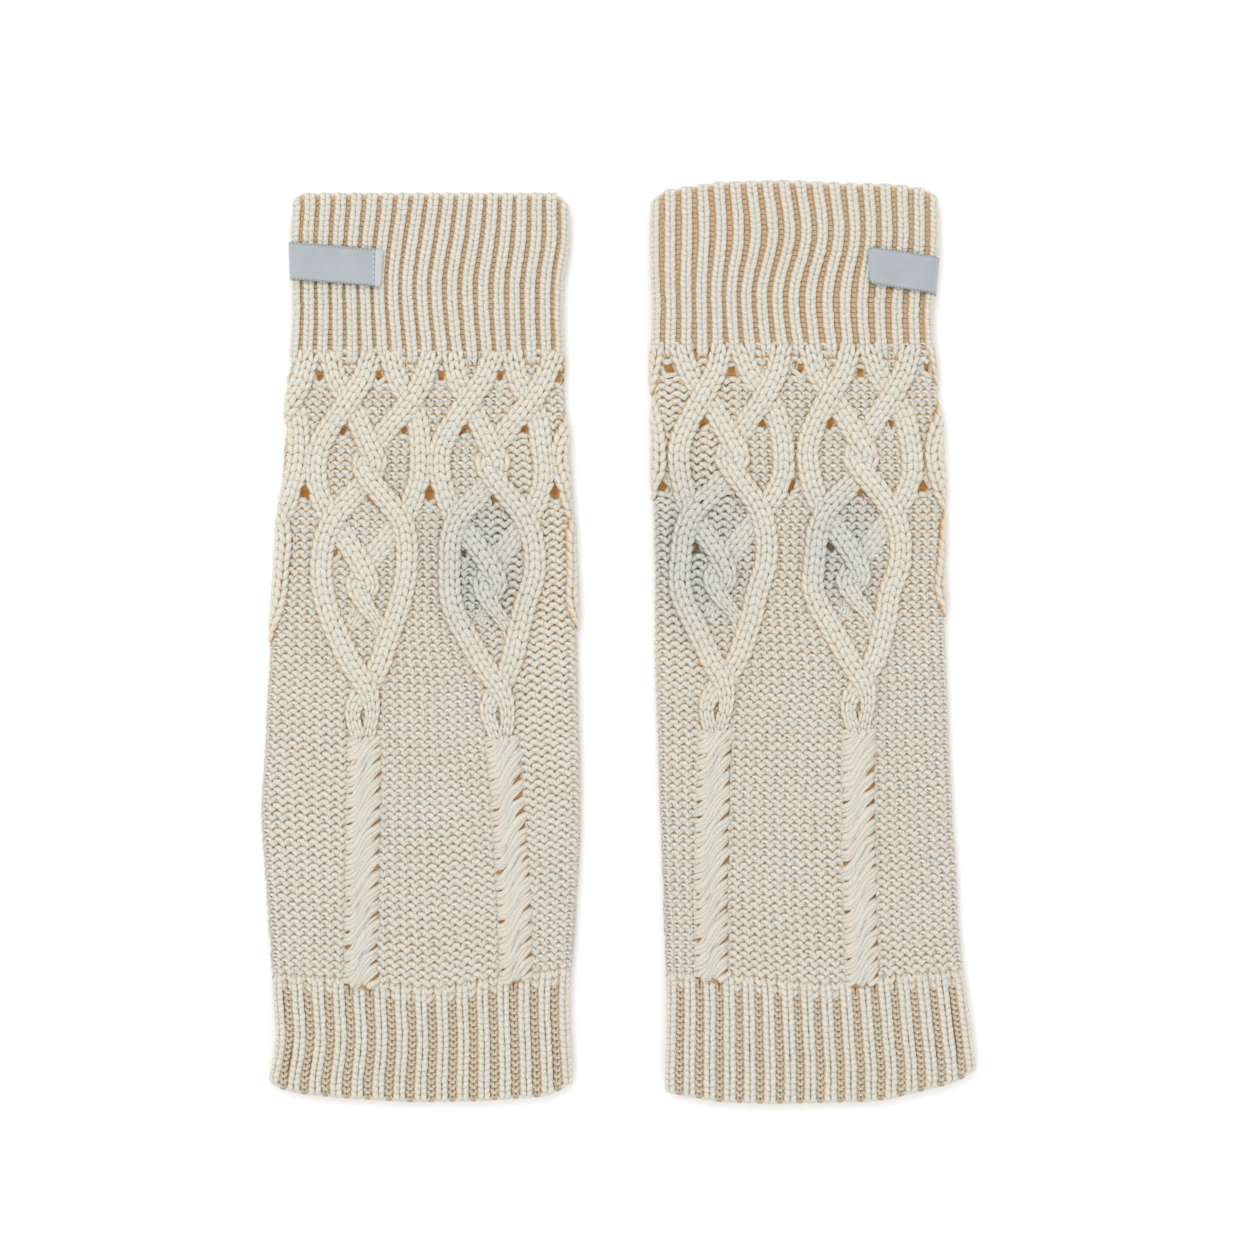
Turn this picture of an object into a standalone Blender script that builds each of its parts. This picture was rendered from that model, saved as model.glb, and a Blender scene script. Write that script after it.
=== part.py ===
"""Pair of cabled leg warmers, laid flat side by side.

Each warmer is one knitted tube pressed flat: an upper cuff in narrow rib, a leg panel with two
cable repeats across the front, and a lower cuff in wider rib. A satin label is folded round the
outer edge of each upper cuff. +Z is up, +Y runs from the hems to the upper cuffs, +X is right,
and the origin is on the floor under the middle of the pair. All tables are in millimetres.
"""
from collections import namedtuple

import bmesh
import bpy
import numpy as np

MM = 0.001

# The knitted wall and the flattened tube
WALL = 2.4
SLIT = 0.6
GROUND_TOP = 2 * WALL + SLIT
FOLD_MIDDLE = WALL + SLIT / 2
FOLD_REACH = 3.0
FOLD_OVERLAP = 0.2
SEAM_GAP = 0.3

# Angles round the folded edges, from its outermost line to the flat of each side
UPPER_FOLD_ANGLES = np.radians((0.0, 28.0, 55.0))
LOWER_FOLD_ANGLES = np.radians((48.0, 90.0))

# Ribs
RIB_RISE = 0.6
VALLEY_DROP = 0.6
CREST_SHARE = 0.27
RIM_DROP = 0.9
RIM_DEPTH = 0.9
HEM_RIM_DEPTH = 1.2
HEM_ROWS = (0.16, 0.4, 0.7, 1.0)

# Cables
STRAND_HALF_WIDTH = 3.7
STRAND_RISE = 2.3
RIDGE_ROUNDNESS = 0.6
ROPE_HALF_WIDTH = 4.5
ROPE_RISE = 2.1
ROPE_START = 122.0
ROPE_BLEND = 8.0
LEG_COLUMNS = 44
CABLE_LENGTH = 132.0
CABLE_ROWS = 60
ROPE_ROWS = 12

# Label tape
TAPE = 0.5
TAPE_CLEARANCE = 0.35
TAPE_RETURN = 8.0
TAPE_STEPS = 7
RECESS_CEILING = TAPE + TAPE_CLEARANCE + 0.05
RECESS_REACH = 10.0
RECESS_SLOPE = 1.5
RECESS_MARGIN = 1.0
ROUNDING = 1e-6

Edge = namedtuple("Edge", "y left right")
Rim = namedtuple("Rim", "x y")
Centre = namedtuple("Centre", "down first second")
Stitch = namedtuple("Stitch", "down across lift")
Sway = namedtuple("Sway", "y shift")
Label = namedtuple("Label", "side end_x end_y fold_y height end_lean")
Warmer = namedtuple(
    "Warmer",
    "name x edges top_rim hem_rim seam hem_seam ribs hem_ribs centres sway label",
)

# One cable repeat: four strands, each a line down the leg. Down is measured from the upper
# seam, across from the repeat's centre line, and lift is the share of the full rise: high where
# the strand passes over its neighbour and low where it dives under.
STRANDS = (
    (
        Stitch(0.0, -16.7, 0.65), Stitch(14.7, -10.0, 0.40), Stitch(31.0, 0.0, 1.00),
        Stitch(35.5, 2.5, 0.75), Stitch(40.0, 0.0, 0.40), Stitch(54.5, -11.0, 1.00),
        Stitch(70.0, -14.3, 0.85), Stitch(84.0, -12.0, 0.85), Stitch(94.7, -7.7, 0.85),
        Stitch(104.3, -3.3, 0.90), Stitch(109.5, 0.0, 1.00), Stitch(117.0, 2.7, 0.85),
        Stitch(126.5, 0.0, 0.45), Stitch(134.0, -1.5, 0.60),
    ),
    (
        Stitch(0.0, -3.3, 0.65), Stitch(14.7, -10.0, 1.00), Stitch(33.7, -17.8, 0.85),
        Stitch(44.0, -16.6, 0.85), Stitch(54.5, -11.0, 0.40), Stitch(71.0, 0.0, 1.00),
        Stitch(76.3, 2.6, 0.75), Stitch(81.5, 0.0, 0.40), Stitch(92.0, -5.5, 0.30),
    ),
    (
        Stitch(0.0, 3.3, 0.65), Stitch(14.7, 10.7, 0.40), Stitch(33.7, 17.0, 0.85),
        Stitch(44.0, 16.4, 0.85), Stitch(54.5, 12.0, 0.40), Stitch(71.0, 0.0, 0.40),
        Stitch(76.3, -2.6, 0.75), Stitch(81.5, 0.0, 1.00), Stitch(91.0, 5.8, 0.30),
    ),
    (
        Stitch(0.0, 16.7, 0.65), Stitch(14.7, 10.7, 1.00), Stitch(31.0, 0.0, 0.40),
        Stitch(35.5, -2.5, 0.75), Stitch(40.0, 0.0, 1.00), Stitch(54.5, 12.0, 1.00),
        Stitch(70.0, 14.2, 0.85), Stitch(85.7, 11.0, 0.85), Stitch(94.7, 6.7, 0.85),
        Stitch(103.0, 3.0, 0.80), Stitch(109.5, 0.0, 0.45), Stitch(117.0, -4.0, 0.85),
        Stitch(126.5, 0.0, 1.00), Stitch(134.0, 1.5, 0.60),
    ),
)

LEFT = Warmer(
    name="left",
    x=-66.0,
    edges=(
        Edge(145.0, -42.8, 49.5), Edge(134.0, -43.4, 49.5), Edge(120.7, -43.0, 47.5),
        Edge(110.7, -42.8, 47.2), Edge(95.3, -43.6, 47.7), Edge(80.7, -44.5, 48.2),
        Edge(67.3, -45.5, 48.8), Edge(54.0, -46.5, 49.5), Edge(40.7, -47.5, 50.5),
        Edge(14.0, -49.2, 51.8), Edge(-12.7, -51.2, 52.5), Edge(-39.3, -52.5, 53.2),
        Edge(-59.3, -53.5, 53.5), Edge(-79.3, -52.2, 52.5), Edge(-99.3, -50.8, 51.3),
        Edge(-119.3, -49.5, 49.8), Edge(-132.7, -48.8, 50.2), Edge(-146.7, -51.2, 51.2),
    ),
    top_rim=(
        Rim(-42.8, 145.0), Rim(-42.4, 147.2), Rim(-41.6, 149.0), Rim(-40.0, 150.0),
        Rim(43.5, 150.0), Rim(46.8, 148.7), Rim(48.5, 147.3), Rim(49.5, 145.0),
    ),
    hem_rim=(
        Rim(-51.2, -146.7), Rim(-46.5, -149.3), Rim(-39.8, -151.0), Rim(-26.5, -152.4),
        Rim(-3.2, -153.7), Rim(20.2, -153.4), Rim(40.2, -152.0), Rim(46.8, -149.7),
        Rim(51.2, -146.7),
    ),
    seam=(Rim(-45.0, 95.0), Rim(50.0, 95.0)),
    hem_seam=(Rim(-50.0, -112.8), Rim(4.8, -117.7), Rim(50.0, -110.5)),
    ribs=19,
    hem_ribs=15,
    centres=(
        Centre(0.0, -13.3, 27.5), Centre(15.0, -14.0, 26.0), Centre(30.0, -16.5, 24.0),
        Centre(43.0, -17.5, 24.2), Centre(55.0, -18.3, 23.2), Centre(70.0, -18.8, 24.0),
        Centre(84.0, -19.0, 23.0), Centre(96.0, -19.0, 24.3), Centre(109.0, -18.2, 26.0),
        Centre(127.0, -18.5, 27.5), Centre(170.0, -19.2, 30.7), Centre(212.0, -19.8, 32.3),
    ),
    sway=(Sway(150.0, 1.2), Sway(117.0, -1.8), Sway(95.0, 0.3)),
    label=Label(
        side=-1, end_x=-12.8, end_y=124.5, fold_y=127.0, height=12.4, end_lean=1.3,
    ),
)

RIGHT = Warmer(
    name="right",
    x=64.0,
    edges=(
        Edge(145.8, -53.4, 42.8), Edge(134.0, -53.5, 42.8), Edge(120.7, -53.2, 41.8),
        Edge(110.7, -52.8, 40.9), Edge(97.3, -53.2, 41.4), Edge(80.7, -52.8, 42.8),
        Edge(67.3, -52.5, 43.8), Edge(54.0, -52.5, 44.7), Edge(40.7, -52.4, 44.5),
        Edge(27.3, -52.2, 44.3), Edge(0.7, -52.1, 45.2), Edge(-26.0, -51.5, 46.2),
        Edge(-52.7, -50.5, 47.5), Edge(-79.3, -49.5, 49.2), Edge(-106.0, -48.5, 50.8),
        Edge(-119.3, -48.2, 52.5), Edge(-132.7, -48.5, 54.2), Edge(-142.7, -48.8, 55.5),
        Edge(-148.7, -48.8, 55.5),
    ),
    top_rim=(
        Rim(-53.4, 145.8), Rim(-52.8, 147.3), Rim(-51.5, 149.0), Rim(-48.2, 151.0),
        Rim(-40.2, 152.3), Rim(-30.2, 153.7), Rim(-10.2, 154.3), Rim(13.2, 153.3),
        Rim(27.2, 153.0), Rim(35.8, 151.8), Rim(39.8, 150.7), Rim(42.2, 149.0),
        Rim(42.8, 145.8),
    ),
    hem_rim=(
        Rim(-48.8, -148.7), Rim(-47.2, -150.7), Rim(-40.2, -152.0), Rim(-30.2, -153.7),
        Rim(-13.5, -154.3), Rim(16.5, -153.7), Rim(25.2, -153.0), Rim(33.2, -151.0),
        Rim(45.5, -148.0), Rim(51.8, -145.3), Rim(55.5, -142.7),
    ),
    seam=(Rim(-55.0, 97.3), Rim(45.0, 97.3)),
    hem_seam=(Rim(-50.2, -112.0), Rim(4.2, -116.2), Rim(52.0, -111.3)),
    ribs=18,
    hem_ribs=16,
    centres=(
        Centre(0.0, -26.5, 16.5), Centre(14.0, -25.6, 16.7), Centre(33.0, -26.0, 16.8),
        Centre(43.0, -26.2, 17.0), Centre(55.0, -28.5, 15.7), Centre(70.0, -29.0, 15.7),
        Centre(81.0, -30.3, 14.0), Centre(90.0, -29.5, 15.3), Centre(108.0, -29.2, 17.2),
        Centre(126.0, -31.2, 16.5), Centre(170.0, -32.8, 16.2), Centre(212.0, -32.8, 17.6),
    ),
    sway=(Sway(153.0, -0.8), Sway(136.0, 1.2), Sway(117.0, -2.4), Sway(97.0, -0.6)),
    label=Label(
        side=1, end_x=19.7, end_y=125.6, fold_y=122.2, height=12.0, end_lean=-1.3,
    ),
)

CREAM = (0.70, 0.65, 0.54, 1.0)
CREAM_RIB = (0.68, 0.61, 0.49, 1.0)
SATIN = (0.48, 0.51, 0.53, 1.0)


def column(rows, name):
    """One named column of a table as an array."""
    return np.array([getattr(row, name) for row in rows])


def smooth(at, knots, values):
    """A curve through the knots whose slope at each one is that of its two neighbours."""
    slopes = np.gradient(values, knots)
    span = np.clip(np.searchsorted(knots, at) - 1, 0, len(knots) - 2)
    width = knots[span + 1] - knots[span]
    t = np.clip((at - knots[span]) / width, 0.0, 1.0)
    return (
        (2 * t**3 - 3 * t**2 + 1) * values[span]
        + (t**3 - 2 * t**2 + t) * width * slopes[span]
        + (3 * t**2 - 2 * t**3) * values[span + 1]
        + (t**3 - t**2) * width * slopes[span + 1]
    )


def along_y(y, rows, name):
    """Read a table that runs from the top down, at heights y."""
    return smooth(y, column(rows, "y")[::-1], column(rows, name)[::-1])


def rim_line(rows):
    """A rim or seam as a function of x, straight between its points."""
    xs = column(rows, "x")
    ys = column(rows, "y")
    return lambda x: np.interp(x, xs, ys)


def side_y(warmer, line, name):
    """Height at which a rim or seam meets the left or right edge."""
    y = float(line(0.0))
    for _ in range(6):
        x = float(along_y(np.array(y), warmer.edges, name))
        y = float(line(x))
    return y


class Section:
    """A stretch of one warmer between a lower and an upper line.

    s runs from the left fold to the right fold and t from the lower line to the upper one.
    """

    def __init__(self, warmer, lower, upper):
        self.warmer = warmer
        self.lower = lower
        self.upper = upper
        self.corners = {
            name: (side_y(warmer, lower, name), side_y(warmer, upper, name))
            for name in ("left", "right")
        }

    def edge_x(self, name, t):
        """Place of the left or right fold at row t."""
        low, high = self.corners[name]
        return along_y(low + (high - low) * t, self.warmer.edges, name)

    def place(self, inset, s, t):
        """Point on the flat outline: s across, or inset from the fold nearer to s."""
        left = self.edge_x("left", t)
        right = self.edge_x("right", t)
        x = left + (right - left) * s + inset
        y = self.lower(x) + (self.upper(x) - self.lower(x)) * t
        return x, y

    def middle_length(self):
        """Length down the middle of the warmer."""
        return float(self.upper(0.0) - self.lower(0.0))


def cable_height(warmer, x, y):
    """Rise of the cables above the ground: a round ridge along each strand and each rope."""
    down = warmer.seam[0].y - y
    downs = column(warmer.centres, "down")
    first = smooth(down, downs, column(warmer.centres, "first"))
    second = smooth(down, downs, column(warmer.centres, "second"))
    height = np.zeros_like(x)
    for repeat in (-1, 0, 1, 2):
        centre = first + (second - first) * repeat
        for strand in STRANDS:
            knots = column(strand, "down")
            across = smooth(down, knots, column(strand, "across"))
            slope = (smooth(down + 0.5, knots, column(strand, "across")) - across) / 0.5
            lift = smooth(down, knots, column(strand, "lift"))
            away = (x - centre - across) / np.sqrt(1 + slope**2) / STRAND_HALF_WIDTH
            ridge = np.clip(1 - away**2, 0, 1) ** RIDGE_ROUNDNESS * lift * STRAND_RISE
            inside = (down > -1) & (down < knots[-1])
            height = np.maximum(height, np.where(inside, ridge, 0.0))
        away = (x - centre) / ROPE_HALF_WIDTH
        growth = np.clip((down - ROPE_START) / ROPE_BLEND, 0, 1)
        rope = np.clip(1 - away**2, 0, 1) ** RIDGE_ROUNDNESS * growth * ROPE_RISE
        height = np.maximum(height, rope)
    return height


def sway_shift(warmer, s, y):
    """Sideways drift of the cuff's ribs, none at the two folds."""
    return along_y(y, warmer.sway, "shift") * np.sin(np.pi * s) ** 2


def rib_columns(count):
    """Three lines to each rib: the two shoulders of its crest and the valley after it."""
    offsets = np.array([0.5 - CREST_SHARE, 0.5 + CREST_SHARE, 1.0])
    lines = (np.arange(count)[:, None] + offsets).ravel()[:-1] / count
    crest = np.tile([1.0, 1.0, 0.0], count)[:-1]
    return lines, crest


def front_lines(section, lines):
    """Lines across the front: those of both folds, and the given ones that lie between."""
    width = section.edge_x("right", 0.5) - section.edge_x("left", 0.5)
    nearest = FOLD_REACH - FOLD_OVERLAP
    keep = (lines * width > nearest) & ((1 - lines) * width > nearest)
    insets = FOLD_REACH * (1 - np.cos(UPPER_FOLD_ANGLES))
    fold = np.ones(len(UPPER_FOLD_ANGLES))
    s = np.concatenate([0 * fold, lines[keep], fold])
    inset = np.concatenate([insets, np.zeros(keep.sum()), -insets[::-1]])
    rise = np.sin(UPPER_FOLD_ANGLES)
    share = np.concatenate([rise, np.ones(keep.sum()), rise[::-1]])
    return s, inset, share, keep


def under_lines(extra):
    """Lines across the underside from the right fold back to the left one."""
    insets = FOLD_REACH * (1 - np.cos(LOWER_FOLD_ANGLES))
    drop = np.sin(LOWER_FOLD_ANGLES)
    right_extra = np.array([value for value in extra if value < 0])
    left_extra = np.array([value for value in extra if value > 0])
    inset = np.concatenate([-insets, right_extra, [0.0], left_extra, insets[::-1]])
    fold = np.ones(len(LOWER_FOLD_ANGLES))
    s = np.concatenate([fold, np.ones(len(right_extra)), [0.5], np.zeros(len(left_extra)), 0 * fold])
    share = np.concatenate([
        drop, np.ones(len(right_extra) + 1 + len(left_extra)), drop[::-1],
    ])
    return s, inset, share


def tube_mesh(outer, inner):
    """Closed wall between an outer and an inner ring stack with the same number of lines.

    outer and inner are arrays of rows by lines by xyz, in millimetres, rows from low to high.
    """
    count = outer.shape[1]
    inner_start = outer.shape[0] * count
    verts = np.concatenate([outer.reshape(-1, 3), inner.reshape(-1, 3)]) * MM
    here = np.arange(count)
    after = (here + 1) % count

    def wall(start, rows, outward):
        base = start + np.arange(rows - 1)[:, None] * count
        quads = np.stack([base + here, base + after, base + count + after, base + count + here], -1)
        quads = quads.reshape(-1, 4)
        return quads if outward else quads[:, ::-1]

    last_outer = (outer.shape[0] - 1) * count
    last_inner = inner_start + (inner.shape[0] - 1) * count
    low = np.stack([here, inner_start + here, inner_start + after, after], -1)
    high = np.stack([last_outer + here, last_outer + after, last_inner + after, last_inner + here], -1)
    faces = np.concatenate([
        wall(0, outer.shape[0], True),
        wall(inner_start, inner.shape[0], False),
        low,
        high,
    ])
    return verts, faces


def add_object(name, verts, faces, material, parent):
    """Make one closed piece, turn its faces outwards and cut them into triangles."""
    mesh = bpy.data.meshes.new(name)
    mesh.from_pydata(verts.tolist(), [], faces.tolist())
    work = bmesh.new()
    work.from_mesh(mesh)
    bmesh.ops.recalc_face_normals(work, faces=work.faces)
    bmesh.ops.triangulate(work, faces=work.faces, quad_method="BEAUTY")
    work.to_mesh(mesh)
    work.free()
    mesh.shade_smooth()
    mesh.materials.append(material)
    piece = bpy.data.objects.new(name, mesh)
    piece.parent = parent
    bpy.context.scene.collection.objects.link(piece)
    return piece


def make_material(name, colour, roughness):
    material = bpy.data.materials.new(name)
    material.use_nodes = True
    shader = material.node_tree.nodes["Principled BSDF"]
    shader.inputs["Base Color"].default_value = colour
    shader.inputs["Roughness"].default_value = roughness
    shader.inputs["Metallic"].default_value = 0.0
    return material


def build_section(name, section, t_rows, lines, relief, recess, rim, material, parent):
    """One stretch of tube.

    relief gives the front's rise over the ground for arrays of x, y and line number, recess
    gives the underside's height, and rim says which end rows are turned down as an open rim.
    """
    s_front, inset_front, share_front, keep = front_lines(section, lines)
    s_under, inset_under, share_under = under_lines(recess["lines"])
    t = np.asarray(t_rows)[:, None]

    x_front, y_front = section.place(inset_front[None, :], s_front[None, :], t)
    x_front = x_front + relief["shift"](s_front[None, :], y_front)
    rise = relief["height"](x_front, y_front, keep)
    rim_drop = np.zeros_like(t)
    for row in rim:
        rim_drop[row] = RIM_DROP
    top = GROUND_TOP + rise - rim_drop
    z_front = FOLD_MIDDLE + (top - FOLD_MIDDLE) * share_front

    x_under, y_under = section.place(inset_under[None, :], s_under[None, :], t)
    floor = recess["height"](x_under, t)
    z_under = FOLD_MIDDLE + (floor - FOLD_MIDDLE) * share_under

    outer = np.stack([
        np.concatenate([x_front, x_under], axis=1),
        np.concatenate([y_front, y_under], axis=1),
        np.concatenate([z_front, z_under], axis=1),
    ], axis=-1)

    inner_rows = np.unique(np.linspace(0, len(t_rows) - 1, recess["inner_rows"]).astype(int))
    inner = outer[inner_rows].copy()
    left = inner[:, :1, 0]
    right = inner[:, len(s_front) - 1:len(s_front), 0]
    middle = (left + right) / 2
    shrink = (right - left - 2 * WALL) / (right - left)
    inner[:, :, 0] = middle + (inner[:, :, 0] - middle) * shrink
    slit_front = FOLD_MIDDLE + SLIT / 2 * share_front
    slit_under = FOLD_MIDDLE - SLIT / 2 * share_under
    inner[:, :, 2] = np.concatenate([slit_front, slit_under])[None, :]

    verts, faces = tube_mesh(outer, inner)
    return add_object(name, verts, faces, material, parent)


def no_shift(s, y):
    return np.zeros(np.broadcast_shapes(s.shape, y.shape))


def flat_under(x, t):
    return np.zeros_like(x + t)


def cuff_rows(warmer, section):
    """Rows of the upper cuff, low to high, and the two that bound the recess for the label."""
    label = warmer.label
    length = section.middle_length()
    slope = RECESS_SLOPE / length
    returned = label_middle(warmer)[-TAPE_STEPS - 1:]
    low = returned.min() - label.height / 2 - RECESS_MARGIN
    high = returned.max() + label.height / 2 + RECESS_MARGIN
    edge = float(along_y(np.array(label.fold_y), warmer.edges, label_side(label)))
    bottom = float(section.lower(edge))
    recess_low = (low - bottom) / (float(section.upper(edge - label.side * RECESS_REACH)) - bottom)
    recess_high = (high - bottom) / (float(section.upper(edge)) - bottom)
    rows = np.concatenate([
        np.linspace(0.0, recess_low - slope, 3),
        [recess_low, (recess_low + recess_high) / 2, recess_high],
        np.linspace(recess_high + slope, 1 - RIM_DEPTH / length, 3),
        [1.0],
    ])
    return rows, recess_low, recess_high


def rib_height(crest):
    """Height of the ribs at each line across the front: crests up, valleys down."""
    def height(x, y, keep):
        edge = np.zeros(len(UPPER_FOLD_ANGLES))
        pattern = np.concatenate([edge, crest[keep] * (RIB_RISE + VALLEY_DROP) - VALLEY_DROP, edge])
        return np.broadcast_to(pattern, x.shape)
    return height


def build_cuff(warmer, material, parent):
    """Upper cuff: narrow rib that drifts sideways, with a shallow recess under the label."""
    seam = rim_line(warmer.seam)
    section = Section(warmer, lambda x: seam(x) + SEAM_GAP / 2, rim_line(warmer.top_rim))
    lines, crest = rib_columns(warmer.ribs)
    rows, recess_low, recess_high = cuff_rows(warmer, section)
    side = warmer.label.side

    def recess_height(x, t):
        edge = section.edge_x(label_side(warmer.label), t)
        near = np.clip((RECESS_REACH + RECESS_SLOPE - np.abs(x - edge)) / RECESS_SLOPE, 0, 1)
        beside = (t > recess_low - ROUNDING) & (t < recess_high + ROUNDING)
        return RECESS_CEILING * near * beside

    recess_lines = -side * np.sort([side * RECESS_REACH, side * (RECESS_REACH + RECESS_SLOPE)])
    return build_section(
        warmer.name + "_top_rib", section, rows, lines,
        {"height": rib_height(crest), "shift": lambda s, y: sway_shift(warmer, s, y)},
        {"height": recess_height, "lines": recess_lines, "inner_rows": 3},
        (-1,), material, parent,
    )


def build_leg(warmer, material, parent):
    """Leg panel: plain ground with the cables raised in its front."""
    seam = rim_line(warmer.seam)
    hem_seam = rim_line(warmer.hem_seam)
    section = Section(warmer, lambda x: hem_seam(x) + SEAM_GAP / 2, lambda x: seam(x) - SEAM_GAP / 2)
    length = section.middle_length()
    cable_rows = np.linspace(0, CABLE_LENGTH, CABLE_ROWS + 1)
    rope_rows = np.linspace(CABLE_LENGTH, length, ROPE_ROWS + 1)[1:]
    t_rows = 1 - np.concatenate([cable_rows, rope_rows])[::-1] / length
    lines = np.arange(1, LEG_COLUMNS) / LEG_COLUMNS
    return build_section(
        warmer.name + "_leg", section, t_rows, lines,
        {"height": lambda x, y, keep: cable_height(warmer, x, y), "shift": no_shift},
        {"height": flat_under, "lines": (), "inner_rows": 5},
        (), material, parent,
    )


def build_hem(warmer, material, parent):
    """Lower cuff: wider rib that ends in the curved hem."""
    hem_seam = rim_line(warmer.hem_seam)
    section = Section(warmer, rim_line(warmer.hem_rim), lambda x: hem_seam(x) - SEAM_GAP / 2)
    lines, crest = rib_columns(warmer.hem_ribs)
    length = section.middle_length()
    t_rows = np.concatenate([[0.0, HEM_RIM_DEPTH / length], HEM_ROWS])

    return build_section(
        warmer.name + "_bottom_rib", section, t_rows, lines,
        {"height": rib_height(crest), "shift": no_shift},
        {"height": flat_under, "lines": (), "inner_rows": 3},
        (0,), material, parent,
    )


def label_path(front, clear):
    """Inset from the fold and height of the tape, from its front end round to its return.

    Each quarter of the fold is an ellipse round a line FOLD_REACH inside the edge, pushed out
    by the clearance.
    """
    crest = GROUND_TOP + RIB_RISE - FOLD_MIDDLE
    hollow = FOLD_MIDDLE - RECESS_CEILING
    upper = np.linspace(np.pi / 2, 0, TAPE_STEPS)
    lower = np.linspace(0, -np.pi / 2, TAPE_STEPS)[1:]
    inset = np.concatenate([
        [front],
        FOLD_REACH - (FOLD_REACH + clear) * np.cos(upper),
        FOLD_REACH - (FOLD_REACH + clear) * np.cos(lower),
        [TAPE_RETURN],
    ])
    z = np.concatenate([
        [FOLD_MIDDLE + crest + clear],
        FOLD_MIDDLE + (crest + clear) * np.sin(upper),
        FOLD_MIDDLE + (hollow + clear) * np.sin(lower),
        [FOLD_MIDDLE - hollow - clear],
    ])
    return inset, z


def label_side(label):
    return "left" if label.side < 0 else "right"


def label_front(warmer):
    """Length of tape that shows on the front, to the fold."""
    label = warmer.label
    edge = along_y(np.array(label.fold_y), warmer.edges, label_side(label))
    return abs(label.end_x - float(edge))


def label_middle(warmer):
    """Height of the tape's middle line along its length: it keeps the same slant all round."""
    front = label_front(warmer)
    inset, z = label_path(front, TAPE_CLEARANCE + TAPE)
    run = np.concatenate([[0.0], np.cumsum(np.hypot(np.diff(inset), np.diff(z)))])
    return warmer.label.end_y + (warmer.label.fold_y - warmer.label.end_y) / front * run


def build_label(warmer, material, parent):
    """Tape folded round the cuff's outer edge: a strip carried along its U-shaped path."""
    label = warmer.label
    front = label_front(warmer)
    middle = label_middle(warmer)
    lean = np.zeros_like(middle)
    lean[0] = label.end_lean
    lines = []
    for half in (-0.5, 0.5):
        y = middle + half * label.height
        edge = along_y(y, warmer.edges, label_side(label))
        for clear in (TAPE_CLEARANCE, TAPE_CLEARANCE + TAPE):
            inset, z = label_path(front, clear)
            lines.append(np.stack([edge - label.side * inset + lean * half, y, z], axis=-1))
    low_in, low_out, high_in, high_out = lines
    rings = np.stack([low_in, low_out, high_out, high_in], axis=1)
    count = len(rings)
    start = (np.arange(count - 1) * 4)[:, None]
    here = np.arange(4)
    after = (here + 1) % 4
    sides = np.stack([start + here, start + after, start + 4 + after, start + 4 + here], -1)
    ends = np.array([here, (count - 1) * 4 + here[::-1]])
    faces = np.concatenate([sides.reshape(-1, 4), ends])
    return add_object(warmer.name + "_label", rings.reshape(-1, 3) * MM, faces, material, parent)


def main():
    for old in list(bpy.data.objects):
        bpy.data.objects.remove(old)
    for warmer in (LEFT, RIGHT):
        holder = bpy.data.objects.new(warmer.name + "_warmer", None)
        holder.location.x = warmer.x * MM
        bpy.context.scene.collection.objects.link(holder)
        build_cuff(warmer, make_material(warmer.name + "_cuff_wool", CREAM_RIB, 0.9), holder)
        build_leg(warmer, make_material(warmer.name + "_leg_wool", CREAM, 0.9), holder)
        build_hem(warmer, make_material(warmer.name + "_hem_wool", CREAM_RIB, 0.9), holder)
        build_label(warmer, make_material(warmer.name + "_satin", SATIN, 0.4), holder)


main()
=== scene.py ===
"""Looks of a pair of cabled leg warmers, laid flat side by side and seen from straight above.

Each warmer is a soft knitted wall with its yarn laid on it as real loops: courses of purl loops
on the leg's ground, V-shaped knit stitches along the cable strands and the ribs, and slanting
wraps on the two ropes. A bare satin label is folded round the outer edge of each upper cuff.
Tables and sizes are in millimetres; meshes are made in metres, in the frame of the solids.
"""

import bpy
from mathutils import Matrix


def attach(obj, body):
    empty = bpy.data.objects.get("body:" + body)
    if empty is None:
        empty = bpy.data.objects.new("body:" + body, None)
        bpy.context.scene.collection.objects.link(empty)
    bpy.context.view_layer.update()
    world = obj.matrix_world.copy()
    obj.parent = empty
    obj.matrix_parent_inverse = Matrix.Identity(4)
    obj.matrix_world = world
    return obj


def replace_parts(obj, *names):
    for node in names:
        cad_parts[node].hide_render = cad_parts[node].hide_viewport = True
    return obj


bl_info = {
    "name": "Cabled Leg Warmers",
    "version": (1, 0, 0),
    "blender": (4, 5, 0),
    "location": "3D View > Sidebar > Leg Warmers",
    "description": "Builds a pair of cable-knit leg warmers from loops of yarn",
    "category": "Add Mesh",
}

from collections import namedtuple

import bpy
import numpy as np

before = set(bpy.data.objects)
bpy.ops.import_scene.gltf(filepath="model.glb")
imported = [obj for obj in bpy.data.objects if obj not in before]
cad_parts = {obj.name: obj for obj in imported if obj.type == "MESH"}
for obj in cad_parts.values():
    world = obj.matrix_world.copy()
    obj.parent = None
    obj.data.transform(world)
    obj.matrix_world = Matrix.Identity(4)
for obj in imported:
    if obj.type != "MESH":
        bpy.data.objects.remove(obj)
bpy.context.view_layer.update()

MM = 0.001
BODY = "root"

# The flattened tube: its wall, the slit in it, and heights of its front and its folds' middle
WALL = 2.4
SLIT = 0.6
GROUND_TOP = 2 * WALL + SLIT
FOLD_MIDDLE = WALL + SLIT / 2
# A fold starts this far inside the edge. Yarn ends at the limit round it, wales and ribs are
# spread to lines the spare outside the edges, and what stands up loses a share of its height
FOLD_REACH = 3.0
FOLD_LIMIT = np.radians(112.0)
FOLD_SPARE = 1.7
FOLD_PRESS = 0.75
# The gap between two stretches of a tube
SEAM_GAP = 0.3

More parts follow.
